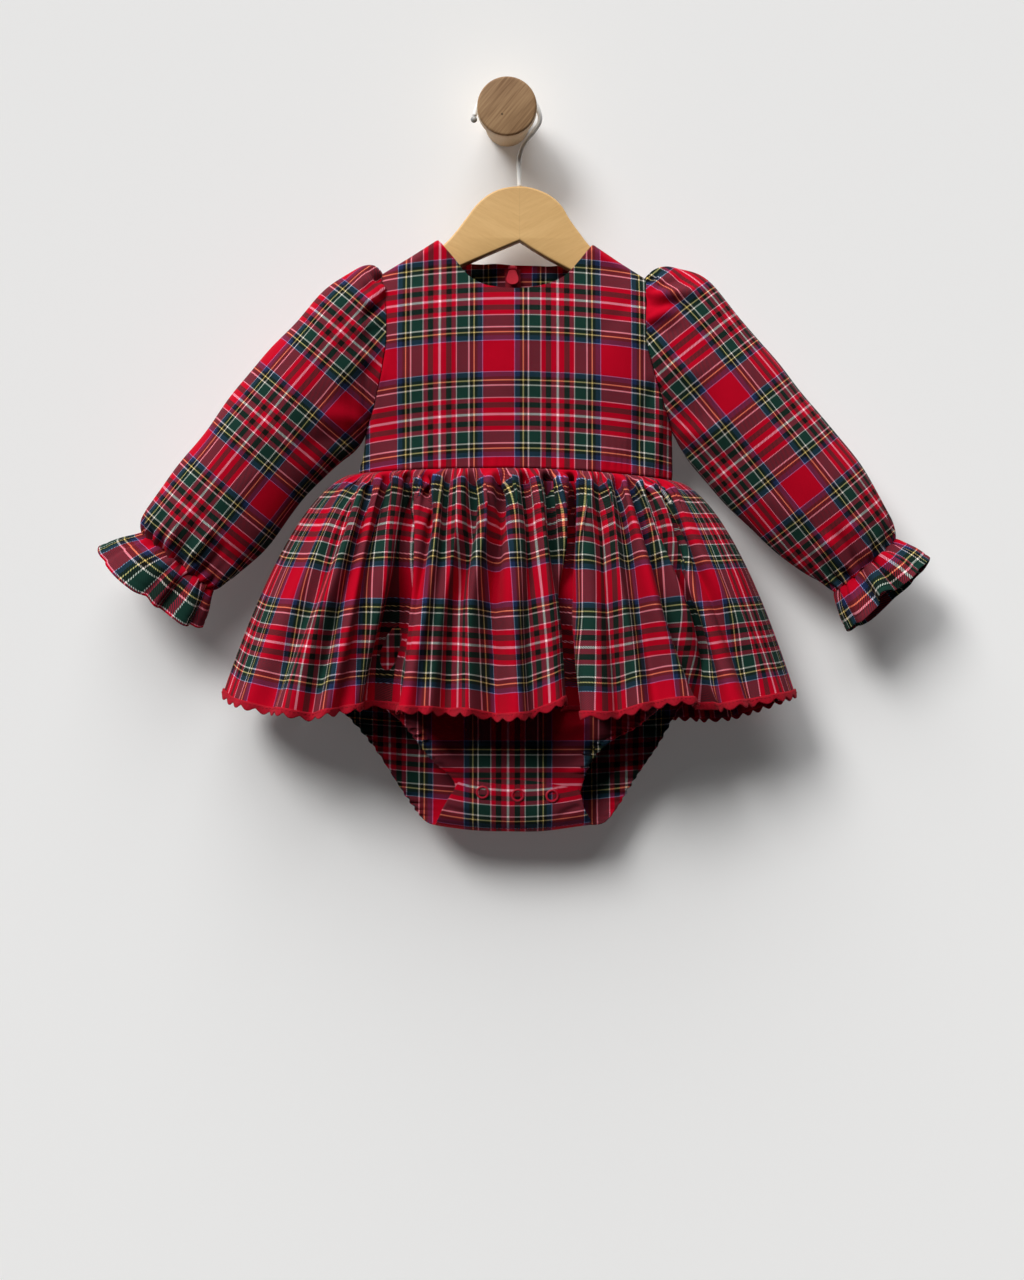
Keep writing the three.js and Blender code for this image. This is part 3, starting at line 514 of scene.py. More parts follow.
def ringPoint(row, turn, lean=0.0):
    c = np.cos(turn)
    s = np.sin(turn)
    half = np.sign(c) * np.abs(c) ** 0.94
    x = lerp(row["ux"], row["lx"], 0.5 - half / 2)
    z = lerp(row["uz"], row["lz"], 0.5 - half / 2)
    y = row["y"] - s * row["d"] * (1 + lean * c)
    return x, y, z


def armholeEdge(left, turn):
    top = -117.9 if left else -121.1
    bottom = -232 if left else -231.5
    z = lerp(top, bottom, 0.5 - np.cos(turn) / 2)
    t = np.full_like(z, 0.0 if left else 1.0)
    fx, fy, fz = bodicePoint(-1, t, z)
    bx, by, bz = bodicePoint(1, t, z)
    front = np.sin(turn) >= 0
    return fx + (-0.3 if left else 0.3), np.where(front, fy, by), z


def sleeveSurface(rows, left):
    def point(u, v):
        turn = 2 * np.pi * u
        row = {key: along(rows, key, v) for key in sleeveKeys}
        x, y, z = ringPoint(row, turn, sleeveSet["lean"] * soften((1 - v) / 0.1))
        ax, ay, az = armholeEdge(left, turn)
        share = soften(1 - v / 0.06)
        return lerp(x, ax, share), lerp(y, ay, share), lerp(z, az, share)
    return point


# Where a white line along the sleeve crosses one across it, and how much cloth there is for each mm seen
sleeveCheck = {
    True: {"x": -120.4, "z": -161.3, "way": (-0.640, -0.768), "along": 1.036, "across": 1.02},
    False: {"x": 218.5, "z": -214.3, "way": (0.618, -0.786), "along": 1.025, "across": 1.03},
}


def sleevePattern(left):
    check = sleeveCheck[left]
    ax, az = check["way"]
    sx, sz = (az, -ax) if left else (-az, ax)
    rows = sleeveLeftRows if left else sleeveRightRows

    def pattern(u, v, x, y, z):
        turn = 2 * np.pi * u
        over = (1 - np.abs(np.sin(turn))) * along(rows, "d", v) * np.sign(np.cos(turn))
        across = ((x - check["x"]) * sx + (z - check["z"]) * sz + 0.7 * over) * check["across"]
        down = ((x - check["x"]) * ax + (z - check["z"]) * az) * check["along"]
        return across, down
    return pattern


leftCreases = [
    (-84, -128.5, -106, -143, 4.2, -5.0, 1),
    (-86, -120, -105, -131, 4.0, 2.4, 1),
    (-88, -143, -104, -151, 3.4, 2.4, 1),
    (-90, -154, -112, -163, 4.5, -1.8, 1),
    (-98, -178, -128, -204, 8, -1.8, 3),
    (-106, -226, -140, -222, 7, -1.8, 2),
    (-112, -238, -150, -246, 7, 1.4, 2),
    (-150, -180, -186, -226, 10, 0.9, 3),
    (-176, -262, -204, -288, 8, -1.2, 2),
    (-246, -317, -232, -292, 3.2, -2.6, 1),
    (-238, -322, -221, -300, 3.2, 2.0, 1),
    (-229, -326, -210, -300, 3.4, -3.0, 1),
    (-221, -334, -203, -316, 3.4, 2.0, 1),
    (-214, -341, -196, -328, 3.2, -2.4, 1),
    (-257, -309, -247, -292, 3.0, 1.6, 1),
]
rightCreases = [
    (103, -134, 138, -134, 4.0, -4.8, 1),
    (100, -153.5, 120, -145.5, 3.6, -3.6, 1),
    (102, -142.5, 126, -141, 3.6, 2.8, 1),
    (104, -126, 128, -123.5, 3.4, 2.0, 1),
    (103, -163, 126, -160, 5, 1.6, 1),
    (108, -178, 140, -196, 8, -1.8, 3),
    (124, -232, 158, -232, 7, -1.8, 2),
    (132, -246, 170, -258, 7, 1.4, 2),
    (176, -196, 206, -236, 10, 0.9, 3),
    (186, -278, 214, -300, 8, -1.2, 2),
    (262, -324, 250, -300, 3.2, -2.6, 1),
    (253, -330, 238, -306, 3.2, 2.0, 1),
    (245, -335, 229, -308, 3.4, -3.0, 1),
    (240, -342, 220, -322, 3.4, 2.0, 1),
    (272, -318, 262, -298, 3.0, 1.8, 1),
]


def sleeveHeight(rows, seed):
    def height(u, v, x, y, z):
        turn = 2 * np.pi * u
        top = np.clip(np.cos(turn) + 0.45, 0, 1)
        near = np.exp(-(((v - 0.05) / 0.045) ** 2))
        caps = sleeveSet["capRise"] * np.cos(15 * turn + 1.3 * np.sin(2 * turn) + seed) * near * top
        wave = np.cos(sleeveSet["wristWaves"] * turn + 1.1 * np.sin(3 * turn + seed))
        wrist = sleeveSet["wristRise"] * wave * soften((v - 0.84) / 0.12)
        edges = soften(np.sin(np.pi * np.minimum(1, 2 * np.minimum(u, 1 - u))) * 3)
        body = creases(rows, x, z) * np.where(u < 0.5, 1.0, 0.8) * edges
        body = body * soften((1 - v) / 0.03) * soften(v / 0.03)
        small = ripple(x, z, seed, 1.1) * soften(v / 0.08) * soften((1 - v) / 0.03)
        return body + (small + caps + wrist) * soften(v / 0.03)
    return height


sleeveLeft = shellPiece("sleeveLeft", 190, 110, sleeveSurface(sleeveLeftRows, True), sleevePattern(True), tartan,
                        True, True, height=sleeveHeight(leftCreases, 11))
sleeveRight = shellPiece("sleeveRight", 190, 110, sleeveSurface(sleeveRightRows, False), sleevePattern(False), tartan,
                         False, True, height=sleeveHeight(rightCreases, 12))
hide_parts("sleeve_left")
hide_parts("sleeve_right")
print("sleeves made")

# Cuffs
cuffSet = {"puff": 1.5, "fine": 2.2, "finer": 17, "hemLine": 0.86}
cuffLeftRows = keyed(sleeveKeys, [
    (-263.7, -307.6, -215.9, -345.9, 10.5, -36),
    (-268.5, -308.6, -216.6, -350.5, 12.5, -36.5),
    (-281, -311.5, -218.5, -360.5, 15.5, -37),
    (-295, -317, -223, -373, 18, -38),
])
cuffRightRows = keyed(sleeveKeys, [
    (280.8, -312.4, 240.3, -347.9, 10.5, -36.5),
    (286.5, -314, 240.5, -353.5, 12.5, -36.5),
    (297, -319, 243.5, -364.5, 15.5, -37),
    (306, -325.5, 248.5, -375.5, 18, -38),
])


# Around the cuff from its upper edge over the front: where, how far out, how far along the arm, and how wide
cuffFolds = {
    True: [
        (0.62, -2.4, -0.5, 0.12),
        (1.17, 2.2, 0.5, 0.30),
        (1.60, -3.4, -2.6, 0.11),
        (1.74, 2.0, 0.0, 0.10),
        (1.96, -6.2, -0.8, 0.17),
        (2.30, 2.4, 0.6, 0.16),
        (2.62, -3.0, -0.4, 0.11),
        (3.80, -3.6, -1.0, 0.18),
        (4.40, -3.2, -1.2, 0.20),
        (4.95, 2.4, 0.8, 0.22),
        (5.40, -3.6, -1.0, 0.16),
    ],
    False: [
        (0.75, -2.0, -0.4, 0.14),
        (1.08, 2.0, 0.6, 0.16),
        (1.38, -6.4, 0.4, 0.13),
        (1.62, 3.0, -6.4, 0.15),
        (1.86, -6.4, 0.2, 0.13),
        (2.20, 2.2, 0.8, 0.18),
        (2.52, -2.4, -0.4, 0.12),
        (3.70, -3.0, -0.8, 0.18),
        (4.25, 2.2, 0.6, 0.20),
        (4.75, -3.4, -1.2, 0.20),
        (5.35, -3.2, -0.8, 0.16),
    ],
}
cuffLips = {True: (9.2, 7.6), False: (0.4, 8.2)}
cuffWays = {True: (-0.625, -0.78), False: (0.659, -0.752)}
stitchPaths = {}


def cuffPiece(name, rows, left):
    ax, az = cuffWays[left]
    lipFront, lipBack = cuffLips[left]

    def point(u, v):
        turn = 2 * np.pi * u
        row = {key: along(rows, key, v) for key in sleeveKeys}
        x, y, z = ringPoint(row, turn)
        cx, cz = (row["ux"] + row["lx"]) / 2, (row["uz"] + row["lz"]) / 2
        away = np.stack((x - cx, y - row["y"], z - cz), 1)
        away /= np.linalg.norm(away, axis=1, keepdims=True)
        front = np.sin(turn)
        lip = lipFront * np.maximum(0, front) ** 0.9 + lipBack * np.maximum(0, -front) ** 0.9
        out = cuffSet["puff"] * np.ones_like(u)
        for where, rise, further, wide in cuffFolds[left]:
            near = np.exp(-(((turn - where - 0.12 * (v - 0.5)) / (wide * (0.6 + 0.4 * v))) ** 2))
            out = out + rise * near
            lip = lip + further * near
        small = np.cos(cuffSet["finer"] * turn + 1.1 * np.sin(3 * turn)) * np.exp(-((v / 0.4) ** 2))
        out = out * soften(0.12 + v * 1.1) + cuffSet["fine"] * small
        out = out - 0.4 * np.exp(-(((v - cuffSet["hemLine"]) / 0.025) ** 2))
        lip = lip * v**2
        return x + away[:, 0] * out + ax * lip, y + away[:, 1] * out, z + away[:, 2] * out + az * lip

    def pattern(u, v, x, y, z):
        return u * 250 + (12 if left else 40), (44.8 - 34 * v) if left else (44 - 28 * v)

    u = np.linspace(0, 1, 500)
    v = np.full_like(u, cuffSet["hemLine"])
    stitchPaths[name] = np.stack(point(u, v), 1) + 0.1 * outward(point, u, v, left)
    return shellPiece(name, 260, 50, point, pattern, tartan, left, True)


cuffLeft = cuffPiece("cuffLeft", cuffLeftRows, True)
cuffRight = cuffPiece("cuffRight", cuffRightRows, False)
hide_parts("cuff_left")
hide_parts("cuff_right")
print("cuffs made")

# Skirt. Columns: place at the waist, place at the hem, hem y, hem height, depth of the gather under the seam
skirtSet = {
    "foldDepth": 1.45, "fine": 0.9, "fineWaves": 41, "pivotAboveHem": 48.7, "tall": 176.0, "flare": 0.55, "swell": 5,
    "seamDeep": 0.035, "left": -110.1, "right": 120.9,
}
foldKeys = ("wx", "hx", "hy", "hz", "g")
frontFolds = keyed(foldKeys, [
    (-108.2, -206, -42, -422.5, 1),
    (-106, -197, -54, -428.5, 4),
    (-101, -180, -68, -432.5, 5.5),
    (-97, -162, -80, -435, 4),
    (-94, -144, -87, -437.5, -1.5),
    (-90, -126, -89, -436, 3.5),
    (-84, -112, -82, -432.8, 5),
    (-76, -99, -67, -431.5, -1.5),
    (-69, -87, -57, -431.5, 4.5),
    (-62, -81, -64, -432.5, -2),
    (-57, -79, -78, -433.5, 5),
    (-50, -72, -88, -434, 2),
    (-43, -56, -88, -434, -1.5),
    (-35, -38, -86, -434.8, 5),
    (-26, -21, -88, -436.3, -1),
    (-17, -6, -91, -438.4, 5),
    (-8, 7, -91, -438.6, -2),
    (2, 19, -88, -436.5, 5),
    (13, 30, -80, -431.5, 3),
    (24, 40, -74, -427, 4),
    (33, 48, -68, -430, -2),
    (41, 54, -62, -434.5, 4),
    (48, 58, -70, -437, -2),
    (55, 61, -84, -437.5, 4.5),
    (62, 72, -89, -437.5, -1.5),
    (70, 90, -88, -433.5, 4.5),
    (78, 108, -87, -429, -1.5),
    (85, 125, -84, -427.5, 4.5),
    (92, 136, -75, -428.5, 0),
    (99, 143, -62, -431.5, 4),
    (104, 150, -70, -432.5, -1),
    (109, 164, -75, -430, 4),
    (114, 184, -66, -427, 4),
    (117.5, 202, -54, -424.5, 3),
    (119.2, 209, -42, -422.8, 1),
])
backFolds = keyed(foldKeys, [
    (119.2, 209, -41.7, -422.8, 1),
    (117, 203, -29, -427, 4),
    (112, 186, -18, -434, 3),
    (103, 168, -11, -440, 5),
    (94, 153, -17, -441.5, -1),
    (85, 138, -24, -441, 4),
    (75, 120, -13, -440, -1),
    (64, 101, -8, -439, 5),
    (53, 84, -11, -437, -1.5),
    (41, 68, -17, -436, 4.5),
    (30, 50, -9, -436, -1),
    (19, 31, -7, -436, 4.5),
    (8, 13, -12, -436, -1),
    (-3, -5, -9, -436, 4),
    (-14, -23, -7, -436, -1.5),
    (-26, -41, -14, -436, 5),
    (-37, -58, -8, -435.5, -1),
    (-48, -77, -7, -434.5, 4.5),
    (-59, -96, -13, -433.5, -1.5),
    (-70, -114, -20, -432.5, 4.5),
    (-80, -133, -10, -431, -1),
    (-89, -152, -8, -429.5, 4.5),
    (-97, -171, -13, -428, 1),
    (-103, -188, -19, -426, 4),
    (-106.5, -200, -29, -424, 3),
    (-108.2, -206, -41.7, -422.5, 1),
])
hemPivots = (-149.4, -93.0, -35.2, 29.0, 75.5, 138.3, 191.8)


def skirtSurface(side, folds):
    def point(u, v):
        row = {key: along(folds, key, u) for key in foldKeys}
        reach = (v + 0.0001) ** skirtSet["flare"]
        share = np.clip((row["wx"] - skirtSet["left"]) / (skirtSet["right"] - skirtSet["left"]), 0, 1)
        waistY = midY + side * (seamGap / 2 + ((26 if side < 0 else 23) + 0.6) * pillow(2 * share - 1))
        waistZ = smoothTable(waistLine, 1, row["wx"]) - seamGap / 2
        swell = skirtSet["swell"] * np.sin(np.pi * np.minimum(1, v * 1.25))
        start = np.minimum(1, v / skirtSet["seamDeep"])
        gather = 0.4 * row["g"] * start * np.exp(-((v / 0.5) ** 2))
        turns = 2 * np.pi * u * skirtSet["fineWaves"]
        fine = skirtSet["fine"] * np.cos(turns + 2.2 * np.sin(2 * np.pi * u * 3.3))
        gather = gather + fine * start * np.exp(-((v / 0.22) ** 2))
        rim = np.minimum(1, 24 * u * (1 - u))
        x = lerp(row["wx"], row["hx"], reach)
        y = lerp(waistY, row["hy"], reach**1.15) + side * (swell - gather * 0.9 + 2) * rim * np.minimum(1, v * 20)
        z = lerp(waistZ, row["hz"], v)
        return x, y, z
    return point


def hemLengths(point, pivots):
    u = np.linspace(0, 1, 1500)
    x, y, z = point(u, np.ones_like(u))
    steps = np.sqrt(np.diff(x) ** 2 + np.diff(y) ** 2 + np.diff(z) ** 2)
    run = np.concatenate(([0.0], np.cumsum(steps)))
    if not pivots:
        return u, run, run
    marks = [run[np.argmax(x > p)] for p in pivots]
    cloth = np.interp(run, marks, 2 * sett * np.arange(len(marks)))
    first = (marks[1] - marks[0]) / (2 * sett)
    last = (marks[-1] - marks[-2]) / (2 * sett)
    cloth = np.where(run < marks[0], (run - marks[0]) / first, cloth)
    cloth = np.where(run > marks[-1], 2 * sett * (len(marks) - 1) + (run - marks[-1]) / last, cloth)
    return u, run, cloth


def skirtPattern(point, pivots):
    places, run, cloth = hemLengths(point, pivots)

    def pattern(u, v, x, y, z):
        return np.interp(u, places, cloth), (1 - v) * skirtSet["tall"] - skirtSet["pivotAboveHem"]
    return pattern


# Columns: x at the waist, a quarter down, six tenths down and at the hem, then depth and width above and below
grooveKeys = ("x0", "x1", "x2", "x3", "top", "low", "wideTop", "wideLow")
frontGrooves = keyed(grooveKeys, [
    (-103, -119, -146, -172, 3.5, 5.0, 4, 8),
    (-95.8, -104, -121, -138, 5.5, 6.0, 3.2, 7),
    (-85.2, -92, -104, -117, 6.5, 6.0, 3.2, 7),
    (-70.5, -73, -76, -86, 5.0, 3.0, 3, 6),
    (-56.8, -57.5, -64, -79, 9.0, 6.5, 3.4, 5),
    (-64, -68, -80, -93, 2.0, 10.0, 6, 11),
    (-40, -44, -52, -62, 4.0, 3.0, 2.8, 7),
    (-24.8, -27, -36, -44, 8.0, 7.5, 3.2, 8),
    (-4.9, -6.3, -10.6, -12, 10.0, 8.5, 3.8, 9),
    (12.1, 16, 18, 20, 6.0, 4.0, 2.8, 7),
    (28.5, 33.4, 39.1, 46.9, 8.0, 7.0, 3.2, 6),
    (44.8, 45.5, 47, 52, 9.5, 11.5, 3.4, 5),
    (64.7, 67, 72, 80, 7.5, 7.5, 3, 8),
    (77.5, 84, 93, 104, 6.0, 5.0, 2.8, 7),
    (87.4, 98, 116, 141, 7.0, 7.0, 3, 6),
    (98, 110, 132, 152, 5.0, 4.0, 2.8, 6),
    (109, 124, 150, 178, 4.0, 5.0, 3.2, 8),
])
backGrooves = keyed(grooveKeys, [
    (-101, -118, -146, -172, 3.0, 2.0, 4, 8),
    (-88, -97, -112, -128, 5.0, 3.5, 3.4, 7),
    (-71, -78, -90, -100, 4.0, 2.5, 3, 6),
    (-58, -62, -70, -80, 5.5, 4.0, 3.2, 6),
    (-41, -46, -50, -58, 3.0, 1.5, 2.8, 6),
    (-27, -30, -34, -40, 5.5, 3.0, 3.2, 7),
    (-12, -13, -17, -18, 3.5, 1.0, 2.8, 6),
    (2, 3, 6, 8, 6.0, 3.5, 3.4, 7),
    (19, 22, 25, 30, 4.0, 2.0, 2.8, 6),
    (34, 38, 46, 55, 5.5, 3.5, 3.2, 7),
    (52, 58, 66, 77, 4.0, 1.5, 2.8, 6),
    (70, 77, 88, 102, 5.5, 4.0, 3.2, 6),
    (86, 95, 110, 128, 4.0, 2.0, 3, 7),
    (101, 114, 136, 160, 4.0, 3.0, 3, 7),
    (113, 130, 158, 186, 2.5, 1.5, 3.4, 8),
])


def skirtHeight(rows, seed):
    def height(u, v, x, y, z):
        rim = np.minimum(1, 24 * u * (1 - u))
        total = ripple(u * 600, v * 60, seed, 1.0, 9)
        for r in rows:
            centre = np.interp(v, [0, 0.25, 0.6, 1], [r["x0"], r["x1"], r["x2"], r["x3"]])
            centre = centre + 1.2 * np.sin(7 * v + r["x0"])
            deep = skirtSet["foldDepth"] * lerp(r["top"], r["low"], soften(v / 0.7))
            wide = lerp(r["wideTop"], r["wideLow"], v)
            off = (x - centre) / wide
            total -= deep * np.exp(-(off**2))
            total += 0.38 * deep * (np.exp(-((off - 1.9) ** 2)) + np.exp(-((off + 1.9) ** 2)))
        return total * rim * soften(v / 0.05)
    return height


skirtFrontSurface = skirtSurface(-1, frontFolds)
skirtBackSurface = skirtSurface(1, backFolds)
skirtFront = shellPiece("skirtFront", 380, 110, skirtFrontSurface, skirtPattern(skirtFrontSurface, hemPivots), tartan,
                        height=skirtHeight(frontGrooves, 21))
skirtBack = shellPiece("skirtBack", 320, 84, skirtBackSurface, skirtPattern(skirtBackSurface, ()), tartan,
                       height=skirtHeight(backGrooves, 22))
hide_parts("skirt_front")
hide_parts("skirt_back")
print("skirt made")

# Hem lace, laid on the hem and hanging below it in scallops
laceSet = {"scallops": 54, "above": 3.4, "below": 3.0, "off": 0.5, "relief": 0.35}


def lacePiece(name, surface, rows, seed, material):
    places, run, cloth = hemLengths(surface, ())
    total = run[-1]
    height = skirtHeight(rows, seed)

    def lift(u, v):
        return height(u, v, *surface(u, v))

    def point(u, v):
        spot = np.interp(u * total, run, places)
        inside = 1 - laceSet["above"] / skirtSet["tall"]
        base = np.stack(surface(spot, np.full_like(spot, 1.0)), 1)
        above = np.stack(surface(spot, np.full_like(spot, inside)), 1)
        way = outward(surface, spot, np.full_like(spot, 0.995), False)
        base = base + way * lift(spot, np.full_like(spot, 1.0))[:, None]
        above = above + way * lift(spot, np.full_like(spot, inside))[:, None]
        fall = base - above
        fall /= np.linalg.norm(fall, axis=1, keepdims=True)
        scallop = (0.5 - 0.5 * np.cos(2 * np.pi * laceSet["scallops"] * u)) ** 0.65
        lower = laceSet["below"] * scallop + 0.2
        drop = lerp(-laceSet["above"], lower, v)
        raised = laceSet["off"] + 0.8 + laceSet["relief"] * np.sin(np.pi * v)
        knots = 0.22 * np.cos(2 * np.pi * laceSet["scallops"] * 4 * u) * np.sin(np.pi * v * 3)
        places3 = base + fall * drop[:, None] + way * (raised + knots)[:, None]
        return places3[:, 0], places3[:, 1], places3[:, 2]

    def pattern(u, v, x, y, z):
        return u * total, (1 - v) * (laceSet["above"] + laceSet["below"])

    u = np.linspace(0.004, 0.996, 900)
    v = np.full_like(u, 0.28)
    stitchPaths[name] = np.stack(point(u, v), 1) + 0.15 * outward(point, u, v, False)
    return shellPiece(name, laceSet["scallops"] * 12, 8, point, pattern, material, thick=0.7)


braid = laceMaterial()
laceFront = lacePiece("hemLaceFront", skirtFrontSurface, frontGrooves, 21, braid)
laceBack = lacePiece("hemLaceBack", skirtBackSurface, backGrooves, 22, braid)
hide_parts("hem_lace_front")
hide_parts("hem_lace_back")
print("lace made")

# Bloomers
bloomerSet = {"pivotX": 0.7, "pivotZ": -401.5, "foldAt": 0.72, "foldCheck": -139.0, "frillRise": 1.5, "frills": 38,
              "flapScale": 1.12}
# Columns: left x, left height, right x, right height, edge y, bulge in y at the middle, drop at the middle
bloomerKeys = ("lx", "lz", "rx", "rz", "y", "b", "m")
bloomerFrontRows = keyed(bloomerKeys, [
    (-106.5, -263.4, 117.5, -268.4, -34.15, -23.6, -3.6),
    (-116, -300, 127, -302, -34.15, -19, 0),
    (-130, -345, 136, -346, -34.15, -16, 0),
    (-146, -395, 143.5, -396, -34.15, -14, 0),
    (-126, -411, 133, -414, -37, -11.5, 2),
    (-102, -425.5, 114, -431, -40, -9.5, 3),
    (-79, -441.5, 95.5, -446.5, -43, -8, 3),
    (-65, -458, 76, -457, -45, -5.5, 2),
    (-54.5, -471, 62.5, -470, -46, -4.2, 1),
    (-39.5, -484.5, 55.5, -485.5, -47, -2.6, 0),
    (-36.5, -498, 52.5, -498, -47.3, -1.5, 0),
    (-35.5, -507, 51.5, -507, -46.6, -1, 0),
])
bloomerBackRows = keyed(bloomerKeys, [
    (-106.5, -263.4, 117.5, -268.4, -33.85, 20.6, -3.6),
    (-116, -300, 127, -302, -33.85, 19, 0),
    (-130, -345, 136, -346, -33.85, 17, 0),
    (-146, -395, 143.5, -396, -33.85, 13, 0),
    (-131.5, -420, 132.5, -423, -31, 9.5, 0),
    (-120.5, -435.5, 120, -444, -29, 8, 0),
    (-107, -450.5, 110.5, -461, -27.5, 7, 0),
    (-94, -467.5, 101, -475, -26.5, 6.5, 0),
    (-80.5, -489, 91.5, -489, -26, 6, 0),
    (-69.5, -505, 82.5, -504, -26.5, 4, -3),
    (-61, -515.5, 72, -517, -29.5, 2, -5),
    (-53, -518.5, 61, -518.5, -37.5, 0.5, -5),
    (-50.5, -514.5, 60.5, -514, -47, -0.5, -3.5),
    (-46.5, -505.5, 56, -506, -50.6, -1.5, -1),
    (-41.5, -497, 54, -497.5, -51.2, -2, 1),
    (-35, -486.5, 52, -492, -51.2, -2.4, 4.5),
])


def bloomerSurface(rows, gatherFrom, gatherTo):
    def point(u, v):
        u = lerp(u, soften(u), 0.5)
        row = {key: along(rows, key, v) for key in bloomerKeys}
        across = 2 * u - 1
        edge = np.abs(across) ** 9
        span = soften((v - gatherFrom) / 0.04) * soften((gatherTo - v) / 0.04)
        uneven = 0.75 + 0.45 * np.sin(23 * v + 1.7 * np.sin(11 * v) + 2 * (across > 0))
        waves = np.sin(2 * np.pi * bloomerSet["frills"] * v + 2 * np.sin(9 * v))
        frill = bloomerSet["frillRise"] * uneven * edge * span * waves
        x = lerp(row["lx"], row["rx"], u) + 0.6 * frill * np.sign(across)
        y = row["y"] + row["b"] * pillow(across) + frill
        z = lerp(row["lz"], row["rz"], u) + row["m"] * (1 - across**2)
        return x, y, z
    return point


def bloomerPattern(surface, back):
    fold = bloomerSet["foldAt"]

    def pattern(u, v, x, y, z):
        if not back:
            return x - bloomerSet["pivotX"], z - bloomerSet["pivotZ"]
        below = z - surface(u, np.full_like(u, fold))[2]
        beyond = np.where(v < fold, below, -bloomerSet["flapScale"] * below)
        return x - bloomerSet["pivotX"], bloomerSet["foldCheck"] + beyond
    return pattern


bloomerCreases = [
    (-76, -444, -34, -470, 4.5, -2.2, 2),
    (-66, -462, -30, -478, 4.0, 1.8, 1),
    (92, -450, 48, -470, 4.5, -2.2, 2),
    (78, -464, 44, -480, 4.0, 1.8, 1),
    (60, -444, 30, -456, 5, 1.6, 2),
    (-52, -436, -20, -446, 5, -1.2, 2),
    (10, -430, 6, -478, 9, 1.2, 3),
]
flapCreases = [
    (-44, -504, -20, -512, 3.0, -1.2, 1),
    (54, -504, 36, -512, 3.0, -1.2, 1),
    (-30, -492, 30, -494, 6, 0.6, 1),
]


def bloomerHeight(seed, back):
    def height(u, v, x, y, z):
        calm = soften(v / 0.06) * soften((1 - v) / 0.03) * soften(u / 0.06) * soften((1 - u) / 0.06)
        flap = soften((v - bloomerSet["foldAt"]) / 0.1) if back else 0.0
        body = creases(bloomerCreases, x, z) * (1 - flap) + creases(flapCreases, x, z) * flap
        near = soften((1 - v) / (0.34 if back else 0.16))
        return (body + ripple(x, z, seed, 1.0) * near) * calm
    return height


bloomerFrontSurface = bloomerSurface(bloomerFrontRows, 0.3, 0.83)
bloomerBackSurface = bloomerSurface(bloomerBackRows, 0.22, 0.68)
bloomerFront = shellPiece("bloomerFront", 120, 150, bloomerFrontSurface, bloomerPattern(bloomerFrontSurface, False),
                          tartan, height=bloomerHeight(31, False))
bloomerBack = shellPiece("bloomerBack", 120, 190, bloomerBackSurface, bloomerPattern(bloomerBackSurface, True),
                         tartan, True, height=bloomerHeight(32, True))
for place, spot in (("flapTop", 0.975), ("flapLow", 0.775)):
    u = np.linspace(0.05, 0.95, 300)
    v = np.full_like(u, spot)
    spots = np.stack(bloomerBackSurface(u, v), 1)
    rise = bloomerHeight(32, True)(u, v, *spots.T) + 0.1
    stitchPaths[place] = spots + outward(bloomerBackSurface, u, v, True) * rise[:, None]
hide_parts("bloomer_front")
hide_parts("bloomer_back")
print("bloomers made")

cloth = [*bodicePieces.values(), sleeveLeft, sleeveRight, cuffLeft, cuffRight, skirtFront, skirtBack]
for piece in (*cloth, laceFront, laceBack, bloomerFront, bloomerBack):
    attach(piece, "garment")


def threadMaterial():
    # Red cotton sewing thread: matt, twisted, a little darker than the cloth
    material, tree, shader = newMaterial("Red sewing thread")
    place = objectPlace(tree)
    fibre = noise(tree, place, 2600.0, 2.0)
    colour = blendColour(tree, fibre, linear("#6E0616"), linear("#A81228"))
    relief = bump(tree, 0.4, 0.0001, fibre)
    fillInputs(tree, shader, {
        "Base Color": colour,
        "Roughness": calc(tree, "MULTIPLY_ADD", fibre, 0.2, 0.6),
        "Specular IOR Level": 0.2,
        "Normal": relief,
    })
    return material


# Rows of stitches: the cuffs' hems, the lace, and the top and fold of the snap flap
stitchSet = {"long": 2.3, "gap": 0.9, "thick": 0.42}


def stitchRow(name, path, material):
    steps = np.linalg.norm(np.diff(path, axis=0), axis=1)
    run = np.concatenate(([0.0], np.cumsum(steps)))
    pace = stitchSet["long"] + stitchSet["gap"]
    mesh = bpy.data.meshes.new(name)
    bm = bmesh.new()
    for k in range(int(run[-1] / pace)):
        ends = [Vector([np.interp(k * pace + d, run, path[:, i]) for i in range(3)]) for d in (0, stitchSet["long"])]
        way = ends[1] - ends[0]
        size = Matrix.Diagonal((way.length / 2000, stitchSet["thick"] / 2000, stitchSet["thick"] / 2000, 1))
        turn = way.to_track_quat("X", "Z").to_matrix().to_4x4()
        spot = Matrix.Translation((ends[0] + ends[1]) / 2000) @ turn @ size
        bmesh.ops.create_uvsphere(bm, u_segments=6, v_segments=5, radius=1, matrix=spot)
    bmesh.ops.recalc_face_normals(bm, faces=bm.faces)
    bm.to_mesh(mesh)
    bm.free()
    smoothFaces(mesh)
    mesh.materials.append(material)
    piece = linkObject(name, mesh)
    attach(piece, "garment")
    return piece


thread = threadMaterial()
stitches = {name: stitchRow(name + "Stitches", path, thread) for name, path in stitchPaths.items()}

print("stitches made")

# Hanger, its hook and the wall peg
def woodSpot(tree, centre, mirrored, turn, stretch):
    place = objectPlace(tree)
    moved = addNode(tree, "ShaderNodeVectorMath", {0: place, 1: centre}, operation="SUBTRACT").outputs[0]
    if mirrored:
        x, y, z = axesOf(tree, moved)
        moved = addNode(tree, "ShaderNodeCombineXYZ", {0: calc(tree, "ABSOLUTE", x), 1: y, 2: z}).outputs[0]
    turned = addNode(tree, "ShaderNodeMapping", {"Vector": moved, "Rotation": (0, math.radians(turn), 0)})
    return moved, addNode(tree, "ShaderNodeMapping", {"Vector": turned.outputs[0], "Scale": stretch}).outputs[0]


